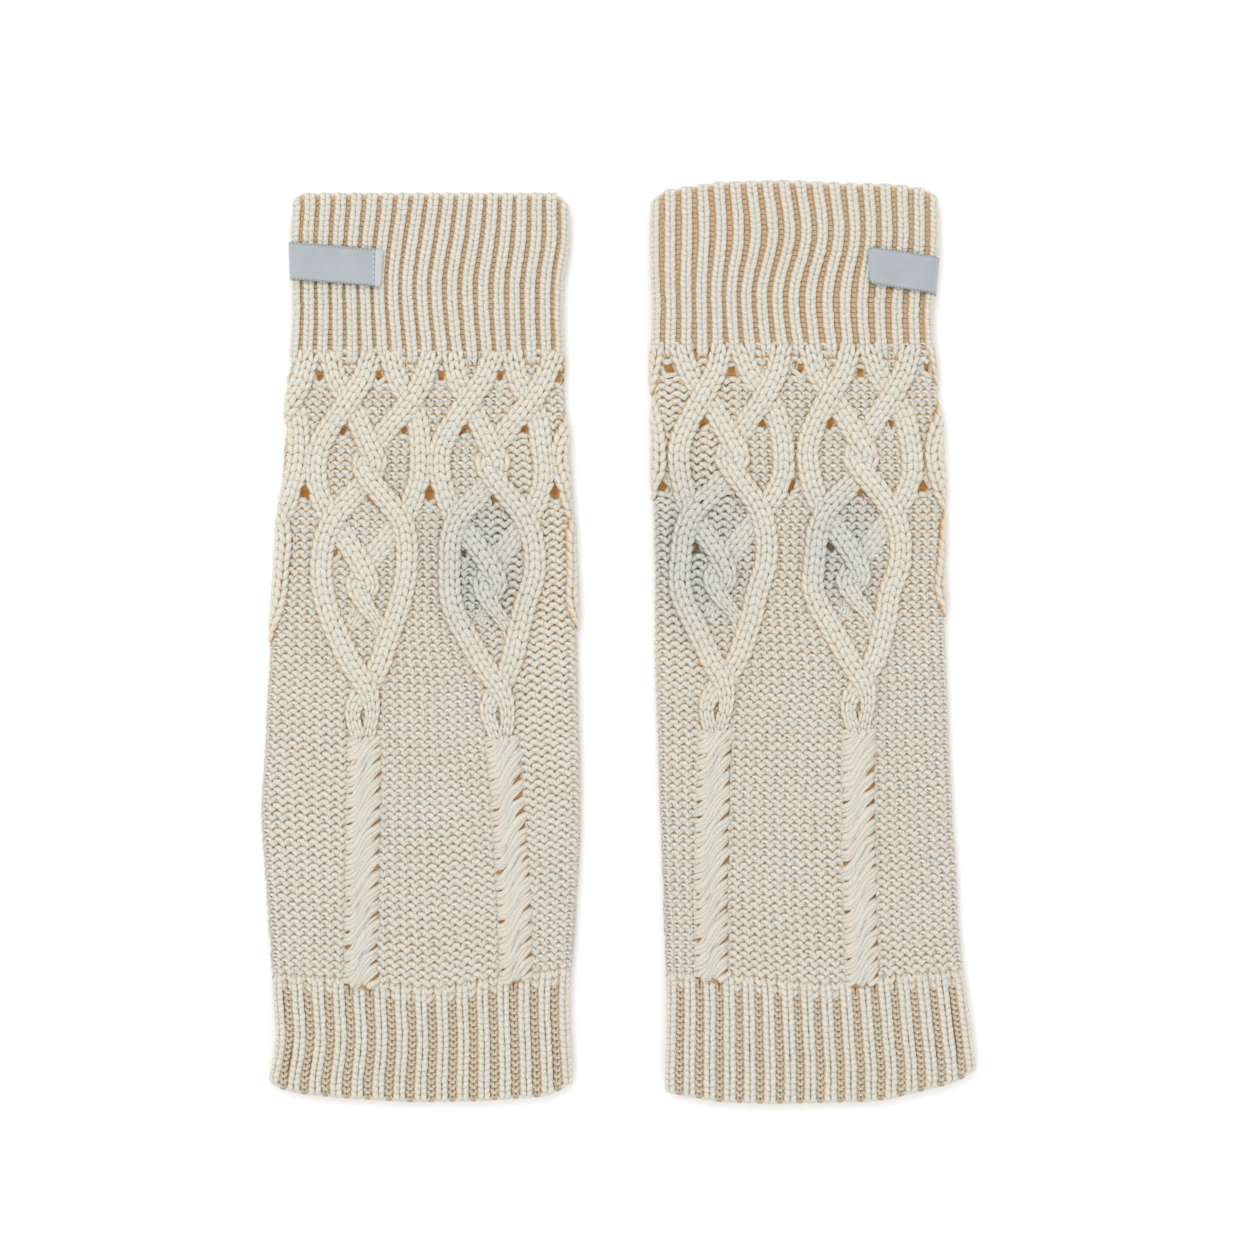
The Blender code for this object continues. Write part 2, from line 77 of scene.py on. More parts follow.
# Rises of the ribs, cables and ropes over the ground
RIB_RISE = 0.6
STRAND_HALF_WIDTH = 3.9
STRAND_RISE = 2.3
ROPE_HALF_WIDTH = 4.6
ROPE_RISE = 2.1
ROPE_START = 122.0
ROPE_BLEND = 8.0
RIDGE_ROUNDNESS = 0.6
# The slope of a strand is taken over this distance down
SLOPE_STEP = 0.5
# Points along each strand's and each rib's route, and the first seeds of their stitches
ROUTE_POINTS = 400
RIB_POINTS = 120
STRAND_SEED = 100
CUFF_SEED = 300
HEM_SEED = 400


def table(names, *rows):
    """Rows of numbers as one array to each named column."""
    return namedtuple("Table", names)(*np.array(rows).T)


Hole = namedtuple("Hole", "down across radius")
Label = namedtuple("Label", "side end_x end_y fold_y height end_lean corner sewn")
Warmer = namedtuple(
    "Warmer",
    "name x edges top_rim hem_rim seam hem_seam ribs hem_ribs centres sway label wales courses",
)

# One cable repeat: four strands, each a line down the leg. Down is measured from the upper
# seam, across from the repeat's centre line, and lift is the share of the full rise: high where
# the strand passes over its neighbour and low where it dives under.
STRANDS = (
    table(
        "down across lift",
        (0.0, -16.7, 0.65), (6.8, -14.8, 0.60), (14.7, -10.0, 0.40), (31.0, 0.0, 1.00),
        (35.5, 2.3, 0.92), (40.0, 0.0, 0.35), (54.5, -11.0, 1.00), (70.0, -14.3, 0.85),
        (84.0, -12.0, 0.85), (94.7, -7.7, 0.85), (104.3, -3.3, 0.90), (109.5, 0.0, 1.00),
        (117.0, 2.1, 0.85), (126.5, 0.9, 0.60), (132.0, 0.0, 0.40),
    ),
    table(
        "down across lift",
        (0.0, -3.3, 0.65), (6.8, -5.4, 0.80), (14.7, -10.0, 1.00), (33.7, -17.8, 0.85),
        (44.0, -16.6, 0.85), (54.5, -11.0, 0.40), (71.0, 0.0, 1.00), (76.3, 2.4, 0.92),
        (81.5, 0.0, 0.35), (92.0, -5.5, 0.20),
    ),
    table(
        "down across lift",
        (0.0, 3.3, 0.65), (6.8, 5.4, 0.60), (14.7, 10.7, 0.40), (33.7, 17.0, 0.85), (44.0, 16.4, 0.85),
        (54.5, 12.0, 0.40), (71.0, 0.0, 0.35), (76.3, -2.4, 0.60), (81.5, 0.0, 1.00), (91.0, 5.8, 0.35),
        (98.0, 6.0, 0.20),
    ),
    table(
        "down across lift",
        (0.0, 16.7, 0.65), (6.8, 14.8, 0.80), (14.7, 10.7, 1.00), (31.0, 0.0, 0.35), (35.5, -2.3, 0.60),
        (40.0, 0.0, 1.00), (54.5, 12.0, 1.00), (70.0, 14.2, 0.85), (85.7, 11.0, 0.85),
        (94.7, 7.9, 0.85), (103.0, 4.6, 0.80), (109.5, 0.6, 0.45), (117.0, -4.0, 0.80),
        (126.5, -2.2, 0.80), (133.0, 0.6, 0.60),
    ),
)

# Strands draw together near their lower ends, by distance from the end
STRAND_END = (13.0, 24.0)
STRAND_END_WIDTH = (0.64, 1.0)

# Eyelets that open where two strands part, and how much wider the loops and the strands round
# them lie
HOLE_YARN = 1.25
HOLE_STRAND = 0.5
# An eyelet's depth falls to nothing at this many of its radii, and yarn never runs nearer to
# its middle than this
HOLE_FADE = 1.6
HOLE_LEAST = 0.05
HOLES = (
    Hole(6.6, 0.0, 1.2), Hole(6.6, -20.4, 1.2), Hole(24.3, -10.2, 0.9), Hole(24.3, 9.8, 0.9),
    Hole(45.2, 20.6, 1.4), Hole(46.6, 0.0, 0.5), Hole(50.0, -9.3, 0.6), Hole(66.0, -9.2, 0.6),
)

LEFT = Warmer(
    name="left",
    x=-66.0,
    edges=table(
        "y left right",
        (145.0, -42.8, 49.5), (134.0, -43.4, 49.5), (120.7, -43.0, 47.5), (110.7, -42.8, 47.2),
        (95.3, -43.6, 47.7), (80.7, -44.5, 48.2), (67.3, -45.5, 48.8), (54.0, -46.5, 49.5),
        (40.7, -47.5, 50.5), (14.0, -49.2, 51.8), (-12.7, -51.2, 52.5), (-39.3, -52.5, 53.2),
        (-59.3, -53.5, 53.5), (-79.3, -52.2, 52.5), (-99.3, -50.8, 51.3), (-119.3, -49.5, 49.8),
        (-132.7, -48.8, 50.2), (-146.7, -51.2, 51.2),
    ),
    top_rim=table(
        "x y",
        (-42.8, 145.0), (-42.4, 147.2), (-41.6, 149.0), (-40.0, 150.0), (43.5, 150.0), (46.8, 148.7),
        (48.5, 147.3), (49.5, 145.0),
    ),
    hem_rim=table(
        "x y",
        (-51.2, -146.7), (-46.5, -149.3), (-39.8, -151.0), (-26.5, -152.4), (-3.2, -153.7),
        (20.2, -153.4), (40.2, -152.0), (46.8, -149.7), (51.2, -146.7),
    ),
    seam=table("x y", (-45.0, 95.0), (50.0, 95.0)),
    hem_seam=table("x y", (-50.0, -112.8), (4.8, -117.7), (50.0, -110.5)),
    ribs=19,
    hem_ribs=15,
    centres=table(
        "down first second",
        (0.0, -13.3, 27.5), (15.0, -14.0, 26.0), (30.0, -16.5, 24.0), (43.0, -17.5, 24.2),
        (55.0, -18.3, 23.2), (70.0, -18.8, 24.0), (84.0, -19.0, 23.0), (96.0, -19.0, 24.3),
        (109.0, -18.2, 26.0), (127.0, -18.5, 27.5), (170.0, -19.2, 30.7), (212.0, -19.8, 32.3),
    ),
    sway=table("y shift", (150.0, 1.2), (117.0, -1.8), (95.0, 0.3)),
    label=Label(
        side=-1, end_x=-12.8, end_y=124.5, fold_y=127.0, height=12.4, end_lean=1.3, corner=0.5,
        sewn=True,
    ),
    wales=(9.5, 23.5, 30.0),
    courses=78,
)

RIGHT = Warmer(
    name="right",
    x=64.0,
    edges=table(
        "y left right",
        (145.8, -53.4, 42.8), (134.0, -53.5, 42.8), (120.7, -53.2, 41.8), (110.7, -52.8, 40.9),
        (97.3, -53.2, 41.4), (80.7, -52.8, 42.8), (67.3, -52.5, 43.8), (54.0, -52.5, 44.7),
        (40.7, -52.4, 44.5), (27.3, -52.2, 44.3), (0.7, -52.1, 45.2), (-26.0, -51.5, 46.2),
        (-52.7, -50.5, 47.5), (-79.3, -49.5, 49.2), (-106.0, -48.5, 50.8), (-119.3, -48.2, 52.5),
        (-132.7, -48.5, 54.2), (-142.7, -48.8, 55.5), (-148.7, -48.8, 55.5),
    ),
    top_rim=table(
        "x y",
        (-53.4, 145.8), (-52.8, 147.3), (-51.5, 149.0), (-48.2, 151.0), (-40.2, 152.3), (-30.2, 153.7),
        (-10.2, 154.3), (13.2, 153.3), (27.2, 153.0), (35.8, 151.8), (39.8, 150.7), (42.2, 149.0),
        (42.8, 145.8),
    ),
    hem_rim=table(
        "x y",
        (-48.8, -148.7), (-47.2, -150.7), (-40.2, -152.0), (-30.2, -153.7), (-13.5, -154.3),
        (16.5, -153.7), (25.2, -153.0), (33.2, -151.0), (45.5, -148.0), (51.8, -145.3), (55.5, -142.7),
    ),
    seam=table("x y", (-55.0, 97.3), (45.0, 97.3)),
    hem_seam=table("x y", (-50.2, -112.0), (4.2, -116.2), (52.0, -111.3)),
    ribs=18,
    hem_ribs=16,
    centres=table(
        "down first second",
        (0.0, -26.5, 16.5), (14.0, -25.6, 16.7), (33.0, -26.0, 16.8), (43.0, -26.2, 17.0),
        (55.0, -28.5, 15.7), (70.0, -29.0, 15.7), (81.0, -30.3, 14.0), (90.0, -29.5, 15.3),
        (108.0, -29.2, 17.2), (126.0, -31.2, 16.5), (170.0, -32.8, 16.2), (212.0, -32.8, 17.6),
    ),
    sway=table("y shift", (153.0, -0.8), (136.0, 1.2), (117.0, -2.4), (97.0, -0.6)),
    label=Label(
        side=1, end_x=19.0, end_y=125.6, fold_y=122.2, height=12.2, end_lean=-1.3, corner=1.7,
        sewn=False,
    ),
    wales=(6.0, 20.0, 30.0),
    courses=78,
)

REPEATS = (-1, 0, 1, 2)
EYELETS = [(repeat, hole) for repeat in REPEATS for hole in HOLES]


def unit(values):
    """Values held between 0 and 1."""
    return np.minimum(np.maximum(values, 0), 1)


def arch(away):
    """Round ridge: 1 on its line, falling to 0 at a distance of 1."""
    return unit(1 - away**2) ** RIDGE_ROUNDNESS


def smooth(at, knots, values):
    """A curve through the knots whose slope at each one is that of its two neighbours."""
    slopes = np.gradient(values, knots)
    span = np.clip(np.searchsorted(knots, at) - 1, 0, len(knots) - 2)
    width = knots[span + 1] - knots[span]
    t = unit((at - knots[span]) / width)
    return (
        (2 * t**3 - 3 * t**2 + 1) * values[span]
        + (t**3 - 2 * t**2 + t) * width * slopes[span]
        + (3 * t**2 - 2 * t**3) * values[span + 1]
        + (t**3 - t**2) * width * slopes[span + 1]
    )


class Form:
    """The flattened tube of one warmer, on which everything is laid.

    A place on it is (x, y, lift): x is the distance across the front, unrolled past the folds,
    y runs up the leg, and lift is the height over the ground of the knit.
    """

    def __init__(self, warmer):
        self.warmer = warmer
        self.name = warmer.name
        self.seam_y = warmer.seam.y[0]

    def edge(self, name, y):
        """Place across of the left or right edge: a smooth curve through its points."""
        edges = self.warmer.edges
        return smooth(y, edges.y[::-1], getattr(edges, name)[::-1])

    def line(self, name, x):
        """Height of a rim or seam at x, straight between its points."""
        return np.interp(x, *getattr(self.warmer, name))

    def folds(self, y, inset=FOLD_REACH):
        """Places across at an inset from the two edges, by default where the folds start."""
        return self.edge("left", y) + inset, self.edge("right", y) - inset

    def wrap(self, x, y, lift):
        """Place in space: flat on the front, and carried round an ellipse past each fold.

        Past the fold's start the unrolled distance turns into an angle, and the point lies on
        an ellipse round a line inside the edge, pushed out by its lift. What stands over the
        ground is pressed flatter there, the more the further round it lies.
        """
        left, right = self.folds(y)
        turn_left = np.clip((left - x) / FOLD_REACH, 0, np.pi)
        turn = np.maximum(turn_left, np.clip((x - right) / FOLD_REACH, 0, np.pi))
        side = np.where(turn_left > 0, -1.0, 1.0)
        front = turn < np.pi / 2
        tall = np.where(front, GROUND_TOP - FOLD_MIDDLE + lift, FOLD_MIDDLE + np.minimum(lift, 0))
        wide = FOLD_REACH + lift - np.maximum(lift, 0) * FOLD_PRESS * np.sin(turn) ** 2
        return np.stack([
            np.clip(x, left, right) + side * wide * np.sin(turn) + self.warmer.x,
            y,
            FOLD_MIDDLE + tall * np.cos(turn),
        ], axis=-1)

    def turn(self, x, y):
        """How far round a fold a place lies, as an angle, and 0 on the flat."""
        left, right = self.folds(y)
        return np.maximum(np.maximum(left - x, x - right), 0) / FOLD_REACH

    def normal(self, x, y):
        """Outward direction of the cloth: from a place under its surface to one on it."""
        return self.wrap(x, y, 0.0) - self.wrap(x, y, -1.0)

    def centre(self, repeat, down):
        """Centre line of a cable repeat, also of those that lie round the folds."""
        downs, firsts, seconds = self.warmer.centres
        first = smooth(down, downs, firsts)
        return first + (smooth(down, downs, seconds) - first) * repeat

    def cable_height(self, x, y):
        """Rise of the cables: a round ridge along each strand and each rope."""
        down = self.seam_y - y
        height = np.zeros_like(x)
        for repeat in REPEATS:
            centre = self.centre(repeat, down)
            for strand in STRANDS:
                across = smooth(down, strand.down, strand.across)
                slope = (smooth(down + SLOPE_STEP, strand.down, strand.across) - across) / SLOPE_STEP
                lift = smooth(down, strand.down, strand.lift)
                from_end = strand.down[-1] - down
                half = STRAND_HALF_WIDTH * np.interp(from_end, STRAND_END, STRAND_END_WIDTH)
                rise = arch((x - centre - across) / np.sqrt(1 + slope**2) / half) * lift * STRAND_RISE
                height = np.maximum(height, np.where((down > -1) & (from_end > 0), rise, 0.0))
            growth = unit((down - ROPE_START) / ROPE_BLEND)
            rope = arch((x - centre) / ROPE_HALF_WIDTH) * growth * ROPE_RISE
            height = np.maximum(height, rope)
        return height

    def rope_away(self, x, y):
        """Distance from the nearer rope's centre line, and a large one above the ropes."""
        down = self.seam_y - y
        away = np.minimum(np.abs(x - self.centre(0, down)), np.abs(x - self.centre(1, down)))
        return np.where(down > ROPE_START + ROPE_BLEND, away, np.inf)

    def from_hole(self, x, y, repeat, hole):
        """Distances across and down from the middle of an eyelet."""
        aside = x - self.centre(repeat, np.full_like(y, hole.down)) - hole.across
        return aside, self.seam_y - y - hole.down

    def hole_depth(self, x, y):
        """1 in the middle of each eyelet, falling to 0 just past its rim."""
        depth = np.zeros_like(x)
        for repeat, hole in EYELETS:
            away = np.hypot(*self.from_hole(x, y, repeat, hole)) / hole.radius
            depth = np.maximum(depth, unit(HOLE_FADE - away))
        return depth

    def open_holes(self, x, y, yarn):
        """Push yarn out from the middle of each eyelet, so that it runs round the opening.

        A distance d becomes the root of d squared plus the opening squared, and this fades
        out over a few openings.
        """
        for repeat, hole in EYELETS:
            opening = hole.radius + yarn
            aside, along = self.from_hole(x, y, repeat, hole)
            away = np.maximum(np.hypot(aside, along), HOLE_LEAST)
            gain = (np.sqrt(away**2 + opening**2) / away - 1) * np.exp(-(away / opening / 2) ** 2)
            x = x + aside * gain
            y = y - along * gain
        return x, y

    def sway(self, x, y):
        """Sideways drift of the cuff's ribs, none at the two folds: a sine squared across."""
        left, right = self.folds(y, 0.0)
        share = unit((x - left) / (right - left))
        knots, shifts = self.warmer.sway
        return smooth(y, knots[::-1], shifts[::-1]) * np.sin(np.pi * share) ** 2


FORMS = (Form(LEFT), Form(RIGHT))


# Slow unevenness of hand-finished knit: turns of each wave across, up and with the seed
DRIFTS = ((0.13, 0.05, 1.7), (-0.11, 0.07, 2.9), (0.04, 0.21, 4.1))


def drift(x, y, seed):
    """Slow unevenness: the mean of a few long sine waves, about -1 to 1."""
    waves = [np.sin(across * x + up * y + shift * seed) for across, up, shift in DRIFTS]
    return sum(waves) / len(waves)


def wave_at(wave, first, second):
    """A sine wave over two places, given as its size and its turns with each."""
    size, with_first, with_second = wave
    return size * np.sin(with_first * first + with_second * second)


def rings(paths, radii, normals, sides, flatness):
    """Points round each path: a flattened circle across its direction.

    paths has one spare point at each end, which only gives the direction there. The circle's
    wide axis lies along the cloth and its short one along the cloth's normal.
    """
    way = paths[:, 2:] - paths[:, :-2]
    way = way / np.linalg.norm(way, axis=-1, keepdims=True)
    across = np.cross(way, normals)
    across /= np.linalg.norm(across, axis=-1, keepdims=True)
    up = np.cross(across, way)
    angle = 2 * np.pi * (np.arange(sides)[:, None] + 0.5) / sides
    circle = np.cos(angle) * across[:, :, None] + flatness * np.sin(angle) * up[:, :, None]
    return paths[:, 1:-1, None] + radii[:, :, None, None] * circle, np.sin(angle[:, 0])


class Mesh:
    """Collects the points, faces, attributes and texture places of one piece."""

    def __init__(self):
        self.points, self.depths, self.tints, self.faces, self.uvs = [], [], [], [], []
        self.count = 0

    def add(self, points, depths, tints):
        """Add points and return the index of the first."""
        start = self.count
        self.points.append(points.reshape(-1, 3))
        for store, values in ((self.depths, depths), (self.tints, tints)):
            store.append(np.broadcast_to(values, points.shape[:-1]).reshape(-1))
        self.count += len(self.points[-1])
        return start

    def add_faces(self, faces, uvs=None):
        """Add faces, an array of corners, with the texture place of each corner."""
        self.faces.append(faces)
        self.uvs.append(np.zeros(faces.shape + (2,)) if uvs is None else uvs)

    def build(self, name):
        """Make the object from the collected arrays and drop points that no face uses."""
        sizes = np.concatenate([np.full(len(each), each.shape[1]) for each in self.faces])
        corners = np.concatenate([each.reshape(-1) for each in self.faces])
        used, corners = np.unique(corners, return_inverse=True)
        mesh = bpy.data.meshes.new(name)
        mesh.vertices.add(len(used))
        mesh.loops.add(len(corners))
        mesh.polygons.add(len(sizes))

        def fill(target, key, values, kind=np.float32):
            target.foreach_set(key, np.asarray(values).astype(kind).ravel())

        fill(mesh.vertices, "co", (np.concatenate(self.points) * MM)[used])
        fill(mesh.loops, "vertex_index", corners, np.int32)
        fill(mesh.polygons, "loop_start", np.append(0, np.cumsum(sizes)[:-1]), np.int32)
        mesh.update(calc_edges=True)
        uvs = np.concatenate([each.reshape(-1, 2) for each in self.uvs])
        fill(mesh.uv_layers.new(name="yarn").data, "uv", uvs)
        # The depth attribute carries each point's painted shade, and tint the patches' painted shade
        for title, values in (("depth", self.depths), ("tint", self.tints)):
            attribute = mesh.attributes.new(title, "FLOAT", "POINT")
            fill(attribute.data, "value", np.concatenate(values)[used])
        mesh.shade_smooth()
        mesh.validate()
        return add_object(name, mesh)


def add_object(name, data):
    """A new object in the scene."""
    made = bpy.data.objects.new(name, data)
    bpy.context.scene.collection.objects.link(made)
    return made


# Yarn is a flattened tube. Its depth in the knit, from 0 on top to 1 underneath, sets how much
# painted shade colours it: shade is the depth halfway up its side, relief how much less deep its
# top lies, which paints the top lighter, and least the depth of its highest points
Yarn = namedtuple("Yarn", "thick sides flatness shade relief least", defaults=(0.0,))


def add_tubes(mesh, paths, radii, normals, keep, yarn, extra_shade, tints):
    """Yarn along many paths at once.

    keep says which stretch of each path is built; a stretch that is left out ends the yarn,
    which is closed with a flat face there. The extra depth that it is given, how much deeper than its
    shade it lies, adds painted shade.
    """
    sides = yarn.sides
    points, height = rings(paths, radii, normals, sides, yarn.flatness)
    tubes, stations = points.shape[:2]
    # Painted shade: deep down the tube's sides and underneath, lighter on its top, plus the extra depth
    depths = np.clip(extra_shade + yarn.shade - yarn.relief * height, yarn.least, 1)
    start = mesh.add(points, depths, np.broadcast_to(tints, (tubes, stations))[:, :, None])
    base = start + (np.arange(tubes)[:, None] * stations + np.arange(stations)) * sides
    steps = np.linalg.norm(np.diff(paths[:, 1:-1], axis=1), axis=-1)
    run = np.zeros((tubes, stations))
    run[:, 1:] = np.cumsum(steps, axis=1)

    here = np.arange(sides)
    after = (here + 1) % sides
    low, high = base[:, :-1][keep][:, None], base[:, 1:][keep][:, None]
    quads = np.stack([low + here, low + after, high + after, high + here], axis=-1)
    low, high = run[:, :-1][keep], run[:, 1:][keep]
    along = np.stack([low, low, high, high], axis=-1)[:, None]
    round_it = np.stack([here, here + 1, here + 1, here], axis=-1) / sides
    uvs = np.stack(np.broadcast_arrays(along, round_it), axis=-1)
    mesh.add_faces(quads.reshape(-1, 4), uvs.reshape(-1, 4, 2))

    padded = np.pad(keep, ((0, 0), (1, 1)))
    opens = base[padded[:, 1:] & ~padded[:, :-1]]
    closes = base[padded[:, :-1] & ~padded[:, 1:]]
    for ends, order in ((opens, here[::-1]), (closes, here)):
        if len(ends):
            mesh.add_faces(ends[:, None] + order)


def lay_yarn(mesh, form, x, y, lift, shown, yarn, radii=None, extra_shade=0.0, tinted=True, whole=True):
    """Build yarn that is laid at unrolled places, between those that are shown and where whole."""
    if radii is None:
        radii = np.full(shown.shape, yarn.thick)
    keep = shown[:, 1:] & shown[:, :-1] & whole
    tints = patch_shade(form, x, y)[:, 1:-1] if tinted else 0.0
    normals = form.normal(x, y)[:, 1:-1]
    add_tubes(mesh, form.wrap(x, y, lift), radii, normals, keep, yarn, extra_shade, tints)


def spare_ends(values):
    """Evenly spaced values with one more beyond each end."""
    step = values[1] - values[0]
    return np.concatenate([[values[0] - step], values, [values[-1] + step]])


def run_length(x, y):
    """Distance along a line at each of its points."""
    return np.concatenate([[0.0], np.cumsum(np.hypot(np.diff(x), np.diff(y)))])


# Soft greyish patches of painted shade by the cables: centre and reach across and up, by warmer
SHADE_PATCHES = {
    "left": ((20.0, 27.0, 19.0, 28.0),),
    "right": ((-38.0, 30.0, 22.0, 32.0), (10.0, 32.0, 15.0, 22.0)),
}
# Their painted shade is the top less the fall for each reach from the centre
PATCH_TOP = 1.6
PATCH_FALL = 1.4


def patch_shade(form, x, y):
    """Painted shade in the soft patches, greyer and cooler yarn: 1 in the middle, 0 a little past the
    reach.
    """
    tint = np.zeros_like(x)
    for centre_x, centre_y, reach_x, reach_y in SHADE_PATCHES[form.name]:
        away = np.hypot((x - centre_x) / reach_x, (y - centre_y) / reach_y)
        tint = np.maximum(tint, unit(PATCH_TOP - PATCH_FALL * away))
    return tint


# Purl loops of the ground: how far a loop leans out and reaches up, in wales and courses
LOOP_LEAN = 0.13
LOOP_REACH = 1.33
LOOP_POINTS = 9
GROUND_YARN = Yarn(thick=1.03, sides=5, flatness=0.66, shade=0.88, relief=1.30)
# How much thicker its heads and feet are, and the flanks of both, and how its height swings
GROUND_CRESCENT = 0.30
GROUND_FLANK = 0.12
GROUND_MIDDLE = -1.10
GROUND_SWING = 0.48
# Uneven tension of the ground: slow drift across, up and out, two quick waves, and the swell
GROUND_DRIFT = (0.5, 0.6, 0.12)
GROUND_WAVES = ((0.05, 2.7, 1.9), (0.04, 1.3, -2.3))
GROUND_SWELL = (0.05, 3.1, 5.3)
# A loop's legs take deeper painted shade, and its head and foot less
LEG_SHADE = (0.25, 0.75)
HEAD_LIGHT = 0.24
# The ground isn't built under more than this height of cable, this far inside a rope's wraps,
# or where an eyelet is deeper than this
HIDDEN_HEIGHT = 1.5
HIDDEN_INSET = 0.9
HOLE_CLEAR = 0.7
# Creases take deeper painted shade among the cables, where the ground lies pulled apart between them,
# and the extra fades out over these distances down the leg
CABLE_CREASE_SHADE = 0.22
CREASE_FADE = (85.0, 110.0)


def wale_x(form, wale, y):
    """Place across of a wale: even between the fold, the two cable centres and the far fold."""
    down = form.seam_y - y
    left, right = form.folds(y, -FOLD_SPARE)
    wales = np.array((0.0,) + form.warmer.wales)
    places = [left, form.centre(0, down), form.centre(1, down), right]
    span = np.clip(np.searchsorted(wales, wale, side="right") - 1, 0, 2)
    start, end = np.choose(span, places[:-1]), np.choose(span, places[1:])
    return start + (end - start) * (wale - wales[span]) / (wales[span + 1] - wales[span])


def make_ground(form):
    """Courses of purl loops.

    Along a course the yarn goes one wale for each turn of an angle: across it moves evenly plus
    the sine of twice the angle, which widens the loop's head, up it follows the cosine, and its
    depth and thickness follow the cosine of twice the angle, so plump heads and feet lie in
    front and thinner legs behind. The cosine of four times the angle keeps it thick down the
    flanks of each head and foot.
    """
    mesh = Mesh()
    courses = form.warmer.courses
    turns = np.arange(-1.0, form.warmer.wales[-1] + 1.0, 1 / LOOP_POINTS)
    angle = 2 * np.pi * spare_ends(turns)
    double = np.cos(2 * angle)
    course = np.arange(courses)[:, None] + 0.5
    wale = angle / (2 * np.pi) + LOOP_LEAN * np.sin(2 * angle) + 0.5
    share = (course - LOOP_REACH * np.cos(angle)) / courses
    wobble = sum(wave_at(wave, wale, course) for wave in GROUND_WAVES)
    low = form.line("hem_seam", 0.0)
    x = wale_x(form, wale + wobble, low + share * (form.seam_y - low))
    low = form.line("hem_seam", x)
    y = low + (form.line("seam", x) - low) * share
    across, up, out = GROUND_DRIFT
    x = x + across * drift(x, y, 1.0)
    y = y + up * drift(x, y, 2.0)
    x, y = form.open_holes(x, y, HOLE_YARN)
    lift = GROUND_MIDDLE + GROUND_SWING * double + out * drift(3 * x, 3 * y, 3.0)
    thick = GROUND_YARN.thick + GROUND_CRESCENT * double - GROUND_FLANK * np.cos(4 * angle)
    radii = (thick * (1 + wave_at(GROUND_SWELL, wale, course)))[:, 1:-1]

    shown = form.cable_height(x, y) <= HIDDEN_HEIGHT
    shown &= form.rope_away(x, y) >= WRAP_REACH - HIDDEN_INSET
    shown &= form.turn(x, y) <= FOLD_LIMIT
    middle = [(each[:, 2:-1] + each[:, 1:-2]) / 2 for each in (x, y)]
    front = double[1:-1, None]
    # Painted shade: deeper on the loops' legs, less on their heads and feet, and more among the cables
    shade, fall = LEG_SHADE
    extra_shade = unit(shade - fall * front) - HEAD_LIGHT * unit(front)
    among = np.interp(form.seam_y - y, CREASE_FADE, (CABLE_CREASE_SHADE, 0.0))[:, 1:-1, None]
    lay_yarn(
        mesh, form, x, y, lift, shown[:, 1:-1], GROUND_YARN, radii, extra_shade + among,
        whole=form.hole_depth(*middle) <= HOLE_CLEAR,
    )
    return mesh


# V-shaped knit stitches. Each leg of a stitch reaches up and back by shares of a step, leans from
# the inner distance at its foot to the outer one at its head, and dives and thins at both ends
LEG_POINTS = 6
LEG_ROUNDNESS = 0.7
LEG_END_SIZE = 0.62
STITCH_YARN = Yarn(thick=1.0, sides=5, flatness=0.78, shade=0.88, relief=1.30)
# Painted shade on each leg's ends, where they dive under
STITCH_DIVE_SHADE = 0.80
# The middle of a yarn lies this share of its radius under the surface, less a little
YARN_SINK = 0.85
STITCH_RAISE = 0.15
# Uneven tension: how far the places and the thickness of the legs stray
STITCH_STRAY = 0.05
STITCH_SWELL = 0.04
# The two wales of a strand, by distance from its middle
STRAND_WALES = (-1.72, 1.72)
Knit = namedtuple("Knit", "step radius reach tail inner outer dive")
STRAND_KNIT = Knit(
    step=3.0, radius=1.22, reach=1.18, tail=0.26, inner=0.46, outer=1.30, dive=0.78,
)
CUFF_KNIT = Knit(
    step=1.72, radius=1.12, reach=1.40, tail=0.35, inner=0.62, outer=1.12, dive=0.55,
)
HEM_KNIT = Knit(
    step=1.95, radius=1.16, reach=1.40, tail=0.35, inner=0.78, outer=1.22, dive=0.55,
)
# Stitches are smaller where a strand grows out of the cuff, by distance down the strand
START_AT = (0.0, 9.0)
START_SIZE = (0.76, 1.0)


def leg_steps(knit):
    """Along, aside, height and size of one knit leg from its foot to its head.

    The leg leans out from the middle of its wale as it rises, by an eased share of the way. Its
    height and size follow half a sine wave to a power under 1, so both ends dive under.
    """
    t = spare_ends(np.linspace(0, 1, LEG_POINTS))
    along = (knit.reach + knit.tail) * t - knit.tail
    inside = unit(t)
    ease = inside**2 * (3 - 2 * inside)
    aside = knit.inner + (knit.outer - knit.inner) * ease
    bow = np.sin(np.pi * inside) ** LEG_ROUNDNESS
    size = LEG_END_SIZE + (1 - LEG_END_SIZE) * bow
    return along * knit.step, aside, -knit.dive * (1 - bow), size


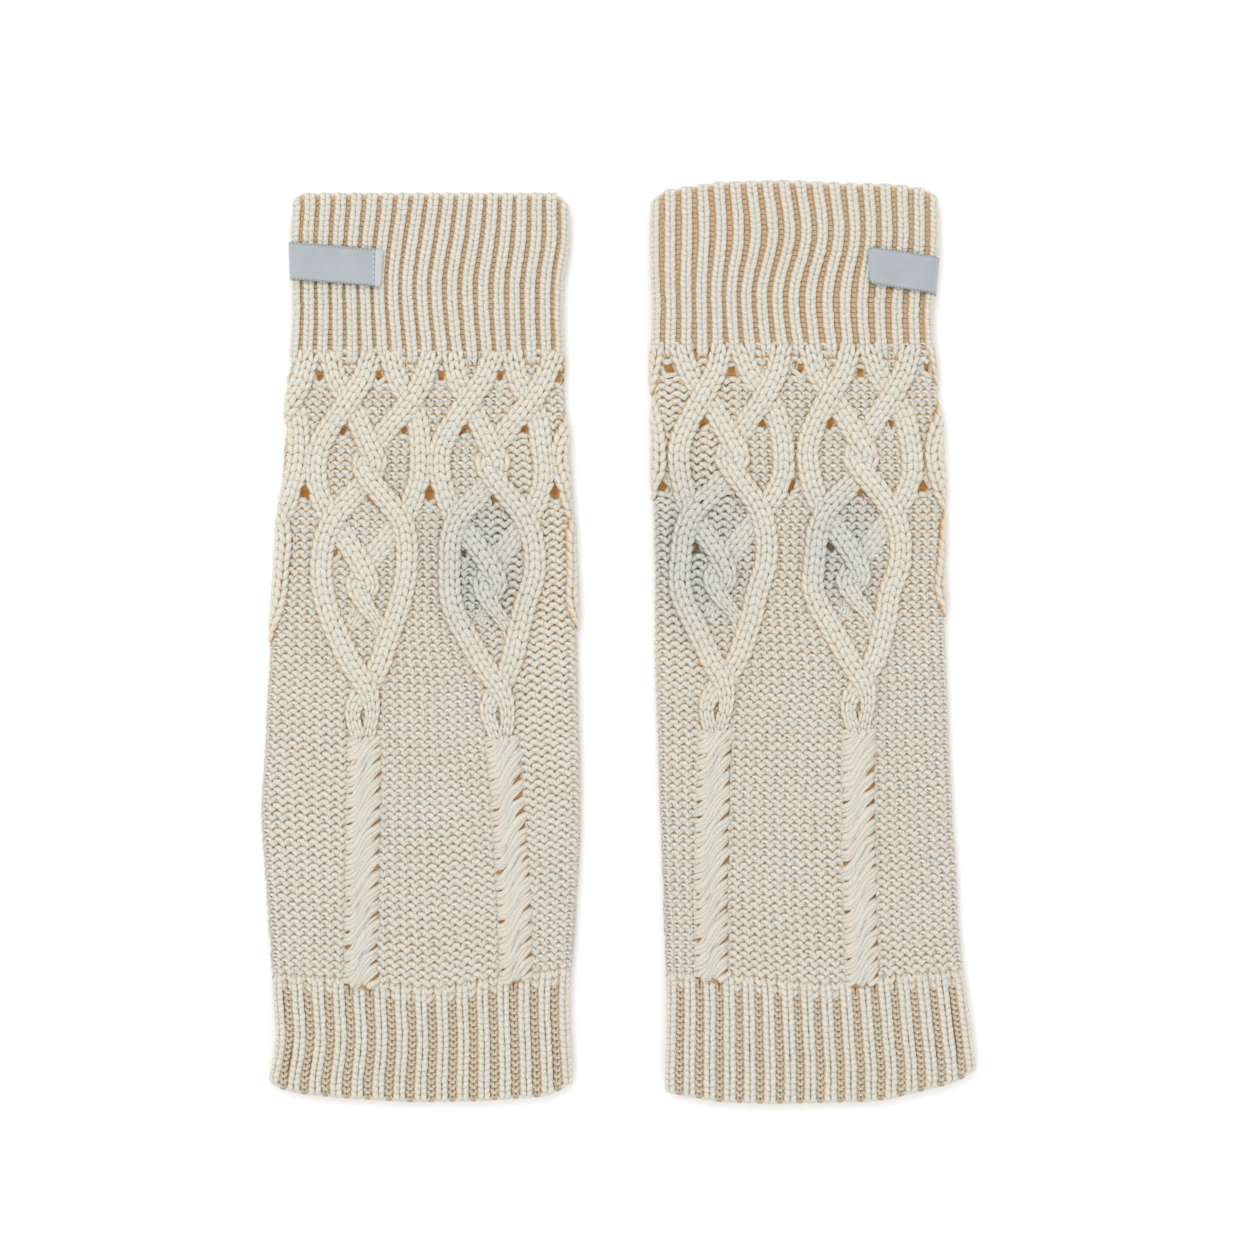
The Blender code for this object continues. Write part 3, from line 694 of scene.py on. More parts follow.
class Route:
    """A line down the cloth, measured by the distance along it.

    Before its start a strand runs straight on. A rib runs straight up and down past both ends,
    and its last stitches crowd together at an open rim or hem.
    """

    def __init__(self, x, y, rib_ends=None):
        self.x, self.y, self.rib_ends = x, y, rib_ends
        self.run = run_length(x, y)
        self.length = self.run[-1]
        self.slope_x, self.slope_y = np.gradient(x, self.run), np.gradient(y, self.run)

    def place(self, s):
        """Places across and up at a distance."""
        across = np.interp(s, self.run, self.x)
        if self.rib_ends is None:
            before = np.minimum(s, 0)
            up = np.interp(s, self.run, self.y)
            return across + before * self.slope_x[0], up + before * self.slope_y[0]
        open_rim, open_hem = self.rib_ends
        last = self.length - RIM_SOFT
        if open_rim:
            s = np.where(s < RIM_SOFT, RIM_SOFT + (s - RIM_SOFT) * RIM_SQUEEZE, s)
        if open_hem:
            s = np.where(s > last, last + (s - last) * RIM_SQUEEZE, s)
        past = np.minimum(s, 0) + np.maximum(s - self.length, 0)
        return across, np.interp(s, self.run, self.y) - past

    def way(self, s):
        """Unit direction up the cloth at a distance."""
        way_x, way_y = -np.interp(s, self.run, self.slope_x), -np.interp(s, self.run, self.slope_y)
        size = np.hypot(way_x, way_y)
        return way_x / size, way_y / size


def add_legs(mesh, form, knit, route, count, wales, ridge, seed):
    """Knit stitches along a route, a left and a right leg for each stitch of each wale.

    ridge gives the height of the strand's surface from the distance along and aside. Along a
    strand the stitches part at the eyelets, and they narrow at its two ends.
    """
    rng = np.random.default_rng(seed)
    along, aside, height, size = leg_steps(knit)
    fall = unit(-height[1:-1, None] / knit.dive)
    stations = (np.arange(count)[:, None] + 0.5) * knit.step
    for wale in wales:
        for side in (-1.0, 1.0):
            stray = rng.normal(0.0, STITCH_STRAY, (count, 3))
            s = stations - along + stray[:, :1] * knit.step
            u = wale + side * aside + stray[:, 1:2]
            radii = knit.radius * size[1:-1] * (1 + rng.normal(0, STITCH_SWELL, (count, 1)))
            if knit is STRAND_KNIT:
                narrow = np.interp(route.length - s, STRAND_END, STRAND_END_WIDTH)
                u = u * narrow
                radii = radii * narrow[:, 1:-1] * np.interp(stations, START_AT, START_SIZE)
            way_x, way_y = route.way(s)
            x, y = route.place(s)
            x, y = x + u * way_y, y - u * way_x
            if knit is STRAND_KNIT:
                x, y = form.open_holes(x, y, HOLE_STRAND)
            lift = ridge(s, u) + height - knit.radius * YARN_SINK + STITCH_RAISE + stray[:, 2:]
            shown = form.turn(x, y).max(axis=1, keepdims=True) <= FOLD_LIMIT
            shown = np.broadcast_to(shown, radii.shape)
            lay_yarn(mesh, form, x, y, lift, shown, STITCH_YARN, radii, STITCH_DIVE_SHADE * fall)


def make_cables(form):
    """The strands: two wales of knit stitches side by side along each route."""
    mesh = Mesh()
    for repeat in REPEATS:
        for index, strand in enumerate(STRANDS):
            down = np.linspace(strand.down[0], strand.down[-1], ROUTE_POINTS)
            x = form.centre(repeat, down) + smooth(down, strand.down, strand.across)
            route = Route(x, form.line("seam", x) - down)
            lift = smooth(down, strand.down, strand.lift)

            def ridge(s, u):
                return STRAND_RISE * np.interp(s, route.run, lift) * arch(u / STRAND_HALF_WIDTH)

            count = int(route.length / STRAND_KNIT.step)
            seed = STRAND_SEED + 10 * repeat + index
            add_legs(mesh, form, STRAND_KNIT, route, count, STRAND_WALES, ridge, seed)
    return mesh


# The ropes: wraps of yarn laid slantwise in groups, as distances down the leg
WRAP_PITCH = 5.17
WRAPS = 3
WRAP_SPACING = 1.72
WRAP_REACH = 5.8
WRAP_POINTS = 16
# Loose fibres dull the ropes, which is painted as shade: even their tops take a little of the crevices'
# painted shade
WRAP_YARN = Yarn(thick=1.15, sides=6, flatness=0.9, shade=0.48, relief=1.0, least=0.18)
# Along a wrap from left to right: how far it has climbed, and how close its group lies there
WRAP_AT = np.array([-1.0, -0.74, -0.48, 0.30, 0.62, 1.0])
WRAP_CLIMB = np.array([-5.0, -4.8, -4.0, 3.6, 5.4, 7.2])
WRAP_BUNCH = np.array([1.0, 0.76, 1.0, 0.98, 0.70, 0.60])
# How steeply a wrap dives from a place on it, at its right and at its left end
WRAP_DIVES = ((2.4, 0.78), (1.2, 0.85))
# How much thinner a wrap is towards the right, and how much deeper the painted shade of its ends is
WRAP_THINNING = 0.30
WRAP_END_SHADE = 0.5
# How much a wrap strays, and what share of that goes aside, up and into its thickness. Then the
# wave by which it wobbles, and how far it is raised
WRAP_SEED = 7
WRAP_STRAY = 0.10
WRAP_STRAYS = (2.0, 0.5, 1.5)
WRAP_WOBBLE = (0.3, 7.0, 60.0)
WRAP_RAISE = 0.2
# Wraps are counted from over the rope's start, and shown from under it to over the lower seam
WRAP_OVERLAP = 2.0
WRAP_START = 4.5
WRAP_END_GAP = 0.4
# A rope's length is taken this far down it. Over its last millimetres it flattens to a share
ROPE_HALFWAY = 80.0
ROPE_TAPER = 6.0
ROPE_END = 0.4


def make_ropes(form):
    """Each rope is a row of wraps, three to a twist, arched over its core.

    A wrap climbs from left to right along a curve: flat on the left flank, steep over the
    middle and slanting on the right, where the wraps of one twist bunch up and dive, which
    leaves a slanting gap before the next twist. Wraps are cut off at the strands above and at
    the lower seam, and lie flatter towards it.
    """
    mesh = Mesh()
    start = ROPE_START - WRAP_OVERLAP
    t = spare_ends(np.linspace(-1, 1, WRAP_POINTS))
    climb, bunch = smooth(t, WRAP_AT, WRAP_CLIMB), smooth(t, WRAP_AT, WRAP_BUNCH)
    (right_dive, right_at), (left_dive, left_at) = WRAP_DIVES
    fall = right_dive * unit(t - right_at) + left_dive * unit(-t - left_at)
    size = 1 - WRAP_THINNING * np.clip(t[1:-1], -0.5, 1) ** 3
    aside, steeper, thicker = WRAP_STRAYS
    rng = np.random.default_rng(WRAP_SEED)
    for repeat in (0, 1):
        middle_x = form.centre(repeat, np.array(ROPE_START + ROPE_HALFWAY))
        length = form.seam_y - form.line("hem_seam", middle_x) - start + WRAP_CLIMB[-1]
        twists = int(round(length / WRAP_PITCH))
        group = np.repeat(np.arange(twists), WRAPS)[:, None]
        member = np.tile(np.arange(WRAPS), twists)[:, None] - 1
        stray = rng.normal(0, WRAP_STRAY, (len(group), 3))
        wobble = wave_at(WRAP_WOBBLE, t, stray[:, :1]) * (1 - t**2)
        u = WRAP_REACH * t + aside * stray[:, :1] + wobble
        row = start + (group + 0.5) * length / twists + member * WRAP_SPACING * bunch
        row = row - climb * (1 + steeper * stray[:, 1:2])
        x = form.centre(repeat, row) + u
        y = form.seam_y - row
        over_seam = y - form.line("hem_seam", x)
        taper = unit(ROPE_END + (1 - ROPE_END) * over_seam / ROPE_TAPER)
        core = ROPE_RISE * arch(u / ROPE_HALF_WIDTH) * taper
        lift = core - fall - WRAP_YARN.thick * YARN_SINK + WRAP_RAISE + stray[:, 2:]
        radii = WRAP_YARN.thick * size * (1 + thicker * stray[:, :1])
        shown = ((row > ROPE_START + WRAP_START) & (over_seam > WRAP_END_GAP))[:, 1:-1]
        extra_shade = WRAP_END_SHADE * np.abs(t[1:-1, None]) ** 3
        lay_yarn(mesh, form, x, y, lift, shown, WRAP_YARN, radii, extra_shade)
    return mesh


def rib_place(form, share, y, swaying):
    """Place across of a share of the front, from fold line to fold line."""
    left, right = form.folds(y, -FOLD_SPARE)
    x = left + (right - left) * share
    return x + form.sway(x, y) if swaying else x


# How far each rib runs on under the leg's stitches, and how much lower its flanks are than its
# middle at the half width
RIB_TAIL = 2.4
RIB_FLANK = 0.35
RIB_HALF_WIDTH = 1.8
# How deep the knit turns down over its last millimetres: at an open rim, and under the leg
RIM_DROP = (0.9, 2.0)
SEAM_DROP = (1.5, 3.6)


def drop(distance, ending):
    """How far the knit has turned down at a distance from its end, by a parabola."""
    depth, reach = ending
    return depth * unit(1 - distance / reach) ** 2


def make_ribs(form, knit, ribs, lower, upper, seed):
    """Rib wales: a column of knit stitches on each rib from one line to the other."""
    mesh = Mesh()
    open_rim, open_hem = "rim" in upper, "rim" in lower
    for rib in range(ribs):
        share = (rib + 0.5) / ribs
        ends = []
        for name, is_open, tail in ((upper, open_rim, RIB_TAIL), (lower, open_hem, -RIB_TAIL)):
            x = rib_place(form, share, np.array(form.line(name, 0.0)), open_rim)
            ends.append(form.line(name, x) + (0.0 if is_open else tail))
        y = np.linspace(*ends, RIB_POINTS)
        route = Route(rib_place(form, share, y, open_rim), y, (open_rim, open_hem))
        count = max(int(round(route.length / knit.step)), 1)

        def ridge(s, u):
            top = RIB_RISE * (1 - RIB_FLANK * (u / RIB_HALF_WIDTH) ** 2)
            start_drop = drop(s, RIM_DROP if open_rim else SEAM_DROP)
            return top - start_drop - drop(route.length - s, RIM_DROP if open_hem else SEAM_DROP)

        fitted = knit._replace(step=route.length / count)
        add_legs(mesh, form, fitted, route, count, (0.0,), ridge, seed + rib)
    return mesh


def furrow_grid(form, ribs, lower, upper, step):
    """Furrow and row of each stitch between the ribs, and how many rows there are."""
    rows = int((form.line(upper, 0.0) - form.line(lower, 0.0)) / step)
    furrow, row = np.meshgrid(np.arange(ribs + 1), np.arange(rows), indexing="ij")
    return furrow.reshape(-1, 1), row.reshape(-1, 1), rows


def furrow_x(form, lower, upper, share, share_y, swaying):
    """Place across of the middle of a furrow, at a share of the way up the cuff."""
    low = form.line(lower, 0.0)
    return rib_place(form, share, low + (form.line(upper, 0.0) - low) * share_y, swaying)


# Purl loops in the furrows of the lower cuff
FURROW_YARN = Yarn(thick=0.78, sides=5, flatness=0.9, shade=0.79, relief=0.60)
FURROW_WIDTH = 3.0
FURROW_TOP = -1.30
FURROW_SWING = 0.4
# The share of the way up where the loops start
FURROW_START = 0.02
# Below a height they take deeper painted shade, by up to an amount over a further distance
FURROW_SHADE = 0.5
FURROW_SHADE_TOP = -0.5
FURROW_SHADE_REACH = 1.6


def add_furrows(mesh, form):
    """One wale of purl loops, as on the ground, in each furrow of the lower cuff."""
    ribs = form.warmer.hem_ribs
    furrow, course, courses = furrow_grid(form, ribs, "hem_rim", "hem_seam", HEM_KNIT.step)
    angle = 2 * np.pi * spare_ends(np.linspace(-0.5, 0.5, LOOP_POINTS + 1))
    share_y = np.clip((course + 0.5 - LOOP_REACH * np.cos(angle)) / courses, FURROW_START, 1.0)
    x = furrow_x(form, "hem_rim", "hem_seam", furrow / ribs, share_y, False)
    x = x + FURROW_WIDTH * (angle / (2 * np.pi) + LOOP_LEAN * np.sin(2 * angle))
    low = form.line("hem_rim", x)
    y = low + (form.line("hem_seam", x) - low) * share_y
    lift = FURROW_TOP + FURROW_SWING * np.cos(2 * angle) - drop(y - low, RIM_DROP)
    shown = form.turn(x, y)[:, 1:-1] < FOLD_LIMIT
    under = FURROW_SHADE_TOP - lift[:, 1:-1, None]
    extra_shade = FURROW_SHADE * unit(under / FURROW_SHADE_REACH)
    lay_yarn(mesh, form, x, y, lift, shown, FURROW_YARN, extra_shade=extra_shade, tinted=False)


# Purl bars in the furrows of the upper cuff: half their width, their arch up the cuff, the
# height of their middle and how much lower their ends lie
BAR_YARN = Yarn(thick=1.02, sides=4, flatness=0.9, shade=0.94, relief=0.30)
BAR_REACH = 1.0
BAR_ARCH = 0.9
BAR_TOP = -1.35
BAR_SAG = 0.25
BAR_POINTS = 4


def add_bars(mesh, form):
    """One short bar of yarn to a row in each furrow of the upper cuff, arched as a parabola."""
    ribs = form.warmer.ribs
    furrow, row, rows = furrow_grid(form, ribs, "seam", "top_rim", CUFF_KNIT.step)
    t = spare_ends(np.linspace(-1, 1, BAR_POINTS))
    share_y = (row + 0.5) / rows
    x = furrow_x(form, "seam", "top_rim", furrow / ribs, share_y, True) + BAR_REACH * t
    low = form.line("seam", x)
    high = form.line("top_rim", x) - RIM_GAP - BAR_ARCH
    y = low + (high - low) * share_y + BAR_ARCH * (1 - t**2)
    lift = BAR_TOP - BAR_SAG * t**2 - drop(form.line("top_rim", x) - y, RIM_DROP)
    shown = form.turn(x, y)[:, 1:-1] < FOLD_LIMIT
    lay_yarn(mesh, form, x, y, lift, shown, BAR_YARN, tinted=False)


# At an open rim the last stitches crowd together over a distance, by a factor, and the bars and
# the wall end this far inside it
RIM_SOFT = 1.2
RIM_SQUEEZE = 0.3
RIM_GAP = 0.9
# The yarn that closes the rim: how far inside it and how high it lies, how much both change over
# each rib, how far it runs on at its ends in ribs, and its points to a rib
RIM_YARN = Yarn(thick=0.85, sides=6, flatness=1.0, shade=0.15, relief=0.2)
RIM_INSET = 0.95
RIM_LIFT = -1.45
RIM_WAVE = 0.12
RIM_RISE = 0.45
RIM_SPARE = 0.3
RIM_POINTS = 6


def add_rim_yarn(mesh, form, rim, ribs, swaying):
    """The yarn that closes an open rim: it runs from rib to rib, higher over each rib."""
    share = np.linspace(-RIM_SPARE / ribs, 1 + RIM_SPARE / ribs, RIM_POINTS * ribs)[None]
    middle_y = form.line(rim, 0.0)
    x = rib_place(form, share, np.full_like(share, middle_y), swaying)
    wave = np.cos(2 * np.pi * ribs * share)
    y = form.line(rim, x) - np.sign(middle_y) * (RIM_INSET + RIM_WAVE * wave)
    shown = np.ones((1, share.size - 2), bool)
    lay_yarn(mesh, form, x, y, RIM_LIFT - RIM_RISE * wave, shown, RIM_YARN, tinted=False)


# The walls that the yarn lies on: how far under the ground's surface, and their lines across
WALL_DROP = 1.2
LEG_LINES = 76
RIB_LINES = 6
UNDER_LINES = 40
# Below these heights the wall shows its underside's colours
UNDER_TOP = (3.0, 3.9)
# The grooves between the ribs on the underside: how deep, and how round the ribs are
UNDER_GROOVE = 0.55
UNDER_ROUNDNESS = 0.6
# The slit reaches its full height one part in this many across, from each fold
SLIT_END = 30
# Rows of the inner skin, and how far it stands in from the folds
INNER_ROWS = 12
INNER_INSET = 1.2
# The leg's wall rises by a share of the cables' height, and sinks in the eyelets
CABLE_SHARE = 0.92
HOLE_SINK = 0.5
# A cuff's wall: the lift of its furrows, the height and roundness of its crests, and the share
# of the rim's turn that it takes
FURROW_LIFT = -1.9
CREST = 0.9
CREST_ROUNDNESS = 0.7
CREST_DROP = 0.6

# The three stretches of a warmer's tube: the lines that bound each, the gaps left at them, its
# rows of points, its slot and the pieces that lie on it
Stretch = namedtuple("Stretch", "name lower upper gaps rows slot pieces")
STRETCHES = (
    Stretch(
        "top_rib", "seam", "top_rim", (SEAM_GAP / 2, RIM_GAP), 40, "cuff_knit", ("cuff_stitches",),
    ),
    Stretch(
        "leg", "hem_seam", "seam", (SEAM_GAP / 2, SEAM_GAP / 2), 130, "leg_knit",
        ("ground_loops", "cable_stitches", "rope_wraps"),
    ),
    Stretch(
        "bottom_rib", "hem_rim", "hem_seam", (RIM_GAP, SEAM_GAP / 2), 30, "hem_knit",
        ("hem_stitches",),
    ),
)


def cells(grid):
    """The four corners of each cell of a grid, going round."""
    return np.stack([grid[:-1, :-1], grid[:-1, 1:], grid[1:, 1:], grid[1:, :-1]], axis=2)


def quarter(share):
    """Quarter circle: rises from 0 at 0 to 1 at 1, and stays there."""
    return np.sqrt(unit(1 - unit(1 - share) ** 2))


def make_wall(form, stretch):
    """A stretch of the flattened tube as a closed wall.

    The outer skin goes once round: the front from fold to fold with its relief, then the
    underside, which is flat but for a shallow groove between ribs and rises to the folds in
    quarter circles. The inner skin follows it a little smaller, and both ends are joined.
    """
    mesh = Mesh()
    ribs = {"top_rib": form.warmer.ribs, "bottom_rib": form.warmer.hem_ribs}.get(stretch.name, 0)
    front_lines = RIB_LINES * ribs + 1 if ribs else LEG_LINES
    up = np.linspace(0, 1, stretch.rows)[:, None]
    share = np.linspace(0, 1, front_lines)[None]

    def rows_at(x, low_gap, high_gap):
        low = form.line(stretch.lower, x) + low_gap
        return low + (form.line(stretch.upper, x) - high_gap - low) * up

    left, right = form.folds(rows_at(0.0, 0.0, 0.0), -FOLD_REACH * (np.pi / 2 - 1))
    x = left + (right - left) * share
    y = rows_at(x, *stretch.gaps)
    lift, holes = rib_relief(form, x, y, ribs) if ribs else leg_relief(form, x, y)
    front = form.wrap(x, y, lift)

    under_share = np.linspace(0, 1, UNDER_LINES)[None, 1:-1]
    first, last = front[:, :1, 0], front[:, -1:, 0]
    under_x = last + (first - last) * under_share
    under_y = rows_at(under_x - form.warmer.x, *stretch.gaps)
    rise = quarter(np.minimum(under_x - first, last - under_x) / FOLD_REACH)
    ridges = np.abs(np.sin(np.pi * under_share * ribs)) ** UNDER_ROUNDNESS
    groove = UNDER_GROOVE * (1 - ridges) if ribs else 0.0
    under_z = FOLD_MIDDLE * (1 - rise) + groove * rise
    outer = np.concatenate([front, np.stack([under_x, under_y, under_z], axis=-1)], axis=1)

    picked = np.linspace(0, stretch.rows - 1, INNER_ROWS).astype(int)
    inner = outer[picked]
    centre, half = ((first + last) / 2)[picked], ((last - first) / 2)[picked]
    inner[:, :, 0] = centre + (inner[:, :, 0] - centre) * (half - WALL + INNER_INSET) / half
    slit = [SLIT / 2 * quarter(np.minimum(s, 1 - s) * SLIT_END) for s in (share, under_share)]
    inner[:, :, 2] = FOLD_MIDDLE + np.concatenate([slit[0], -slit[1]], axis=1)

    blank = np.zeros_like(under_x)
    # The eyelets' depth goes in as the wall's painted shade there, and the patches' painted shade as its
    # tint
    tints = np.concatenate([patch_shade(form, x, y), blank], axis=1)
    start = mesh.add(outer, np.concatenate([holes, blank], axis=1), tints)
    inner_start = mesh.add(inner, 0.0, 0.0)
    lines = outer.shape[1]
    closed = np.append(np.arange(lines), 0)
    girth = np.concatenate([x, 2 * x[:, -1:] - x[:, :1] - (under_x - form.warmer.x)], axis=1)
    girth = np.concatenate([girth, 2 * girth[:, -1:] - girth[:, -2:-1]], axis=1)
    places = np.stack([girth, outer[:, closed, 1]], axis=-1)
    outside = start + np.arange(stretch.rows)[:, None] * lines + closed
    inside = inner_start + np.arange(INNER_ROWS)[:, None] * lines + closed
    for grid, place, way in ((outside, places, 1), (inside, places[picked], -1)):
        quads, uvs = cells(grid).reshape(-1, 4), cells(place).reshape(-1, 4, 2)
        mesh.add_faces(quads[:, ::way], uvs[:, ::way])
    for ring in (np.stack([outside[0], inside[0]], axis=1), np.stack([outside[-1], inside[-1]])):
        mesh.add_faces(cells(ring).reshape(-1, 4))
    return mesh


def leg_relief(form, x, y):
    """Lift of the leg's wall, which follows the cables and sinks in the eyelets, and its holes, which
    give the eyelets' painted shade.
    """
    holes = form.hole_depth(x, y)
    return -WALL_DROP + CABLE_SHARE * form.cable_height(x, y) - HOLE_SINK * holes, holes


def rib_relief(form, x, y, ribs):
    """Lift of a cuff's wall: a rounded crest under each rib, turned down at the open rim."""
    upper = form.warmer.ribs == ribs
    left, right = form.folds(y, -FOLD_SPARE)
    place = (x - (form.sway(x, y) if upper else 0.0) - left) / (right - left) * ribs
    crest = unit(np.sin(np.pi * (place % 1.0))) ** CREST_ROUNDNESS
    from_rim = np.abs(form.line("top_rim" if upper else "hem_rim", x) - y)
    lift = FURROW_LIFT + CREST * crest - CREST_DROP * drop(from_rim, RIM_DROP)
    return lift, np.zeros_like(x)


# Label tape: its thickness, half its height, the distance of its sewing line from the end, and
# how far it lies over the ribs
TAPE = 0.45
TAPE_MIDDLE = 6.15
TAPE_TURN = 2.6
TAPE_CLEARANCE = 0.35
# How far in it reaches under the cuff, and the ceiling of the recess there
TAPE_RETURN = 8.0
RECESS_CEILING = 0.9
# Points across it, round each quarter of its fold, along its front and along its back
TAPE_ACROSS = 24
TAPE_STEPS = 14
TAPE_FRONT = 40
TAPE_BACK = 6
# Its end leans over this distance. Where it lies this far over the middle of the fold it is
# raised a little and ripples: by how much, its turns along and up, and its share at the end. Its
# lip has a height, the place down the tape from which it grows, and its share at the end
TAPE_LEAN = 6.0
TAPE_RAISE = 0.1
TAPE_RIPPLE = (0.16, 0.55, 2.2, 1.6)
TAPE_LIP = (0.5, 0.55, 1.2)
TAPE_OVER = 2.0


def tape_path(front, clear):
    """Inset from the fold and height of the tape along its length, evenly spaced.

    Each quarter of the fold is an ellipse round a line inside the edge, pushed out by clear.
    """
    crest = GROUND_TOP + RIB_RISE - FOLD_MIDDLE + clear
    hollow = FOLD_MIDDLE - RECESS_CEILING + clear
    turn = np.pi / 2 * np.linspace(1, -1, 2 * TAPE_STEPS - 1)
    flat = np.linspace(front, FOLD_REACH, TAPE_FRONT)[:-1]
    back = np.linspace(FOLD_REACH, TAPE_RETURN, TAPE_BACK)[1:]
    inset = np.concatenate([flat, FOLD_REACH - (FOLD_REACH + clear) * np.cos(turn), back])
    round_it = np.where(turn > 0, crest, hollow) * np.sin(turn)
    height = [np.full_like(flat, crest), round_it, np.full_like(back, -hollow)]
    return inset, FOLD_MIDDLE + np.concatenate(height)


def tape_surface(form, clear):
    """Points of one face of the tape: its path carried up the cuff over the tape's height.

    The end leans and is rounded at its corners, the tape ripples a little by a sine along it,
    and its lower lip stands out near the end.
    """
    label = form.warmer.label
    side = "left" if label.side < 0 else "right"
    front = abs(label.end_x - form.edge(side, np.array(label.fold_y)))
    inset, z = tape_path(front, clear)
    run = run_length(inset, z)
    half = np.linspace(-0.5, 0.5, TAPE_ACROSS)
    y = (label.end_y + (label.fold_y - label.end_y) / front * run)[:, None] + half * label.height
    lean = unit(1 - run / TAPE_LEAN)[:, None] * label.end_lean
    corner = unit(1 - run / label.corner)[:, None]
    y = y - 2 * label.corner * half * (1 - np.sqrt(1 - corner**2))
    x = form.edge(side, y) - label.side * inset[:, None] + lean * half
    bow = unit(run / front)[:, None]
    size, turns_along, turns_up, end_share = TAPE_RIPPLE
    ripple = size * np.sin(turns_along * run)[:, None] * np.cos(turns_up * half)
    ripple = ripple * unit(end_share - end_share * bow)
    size, grows_from, end_share = TAPE_LIP
    lip = size * unit(-half * 2 - grows_from) * unit(end_share - bow)
    on_front = z[:, None] > FOLD_MIDDLE + TAPE_OVER
    height = z[:, None] + np.where(on_front, ripple + lip + TAPE_RAISE, 0.0)
    return np.stack([x + form.warmer.x, y, height], axis=-1), run


def make_tape(form):
    """Label tape: two faces a tape's thickness apart, joined along their edges."""
    mesh = Mesh()
    label = form.warmer.label
    inner, run = tape_surface(form, TAPE_CLEARANCE)
    outer, _ = tape_surface(form, TAPE_CLEARANCE + TAPE)
    first, second = mesh.add(outer, 0.0, 0.0), mesh.add(inner, 0.0, 0.0)
    grid = np.arange(inner[..., 0].size).reshape(inner.shape[:2])
    along = run[:, None] + (0.0 if label.sewn else 2 * TAPE_TURN)
    up = np.linspace(0, label.height, TAPE_ACROSS)
    place = np.stack(np.broadcast_arrays(along, up), axis=-1)
    order = [0, 3, 2, 1][::label.side]
    quads = cells(grid)[:, :, order].reshape(-1, 4)
    uvs = cells(place)[:, :, order].reshape(-1, 4, 2)
    mesh.add_faces(first + quads, uvs)
    mesh.add_faces(second + quads[:, ::-1], uvs[:, ::-1])
    border = np.concatenate([grid[0, :-1], grid[:-1, -1], grid[-1, :0:-1], grid[:0:-1, 0]])
    onward = np.roll(border, -1)
    rim = np.stack([first + border, second + border, second + onward, first + onward], axis=-1)
    mesh.add_faces(rim[:, ::-label.side])
    return mesh


# The sewing thread: how many stitches, the share of its pitch that each covers, how far past
# that it dives under the tape, and its arch
THREAD = Yarn(thick=0.17, sides=6, flatness=1.0, shade=0.0, relief=0.0)
THREAD_STITCHES = 7
THREAD_SHARE = 0.60
THREAD_REACH = 1.4
THREAD_ARCH = (-0.35, -0.22, 0.0, 0.12, 0.0, -0.22, -0.35)


def make_tape_thread(form):
    """A row of small sewing stitches across the tape near its end, each a low arch."""
    mesh = Mesh()
    surface, run = tape_surface(form, TAPE_CLEARANCE + TAPE)
    line = surface[int(np.searchsorted(run, TAPE_TURN))]
    middle = (np.arange(THREAD_STITCHES)[:, None] + 0.5) / THREAD_STITCHES
    half = THREAD_SHARE / 2 / THREAD_STITCHES
    places = middle + np.linspace(-THREAD_REACH, THREAD_REACH, len(THREAD_ARCH)) * half
    knots = np.linspace(0, 1, len(line))
    paths = np.stack([np.interp(places, knots, each) for each in line.T], axis=-1)
    paths[:, :, 2] += THREAD_ARCH
    normals = np.broadcast_to((0.0, 0.0, 1.0), paths[:, 1:-1].shape)
    radii = np.full(normals.shape[:2], THREAD.thick)
    keep = np.ones(radii[:, 1:].shape, bool)
    add_tubes(mesh, paths, radii, normals, keep, THREAD, 0.0, 0.0)
    return mesh


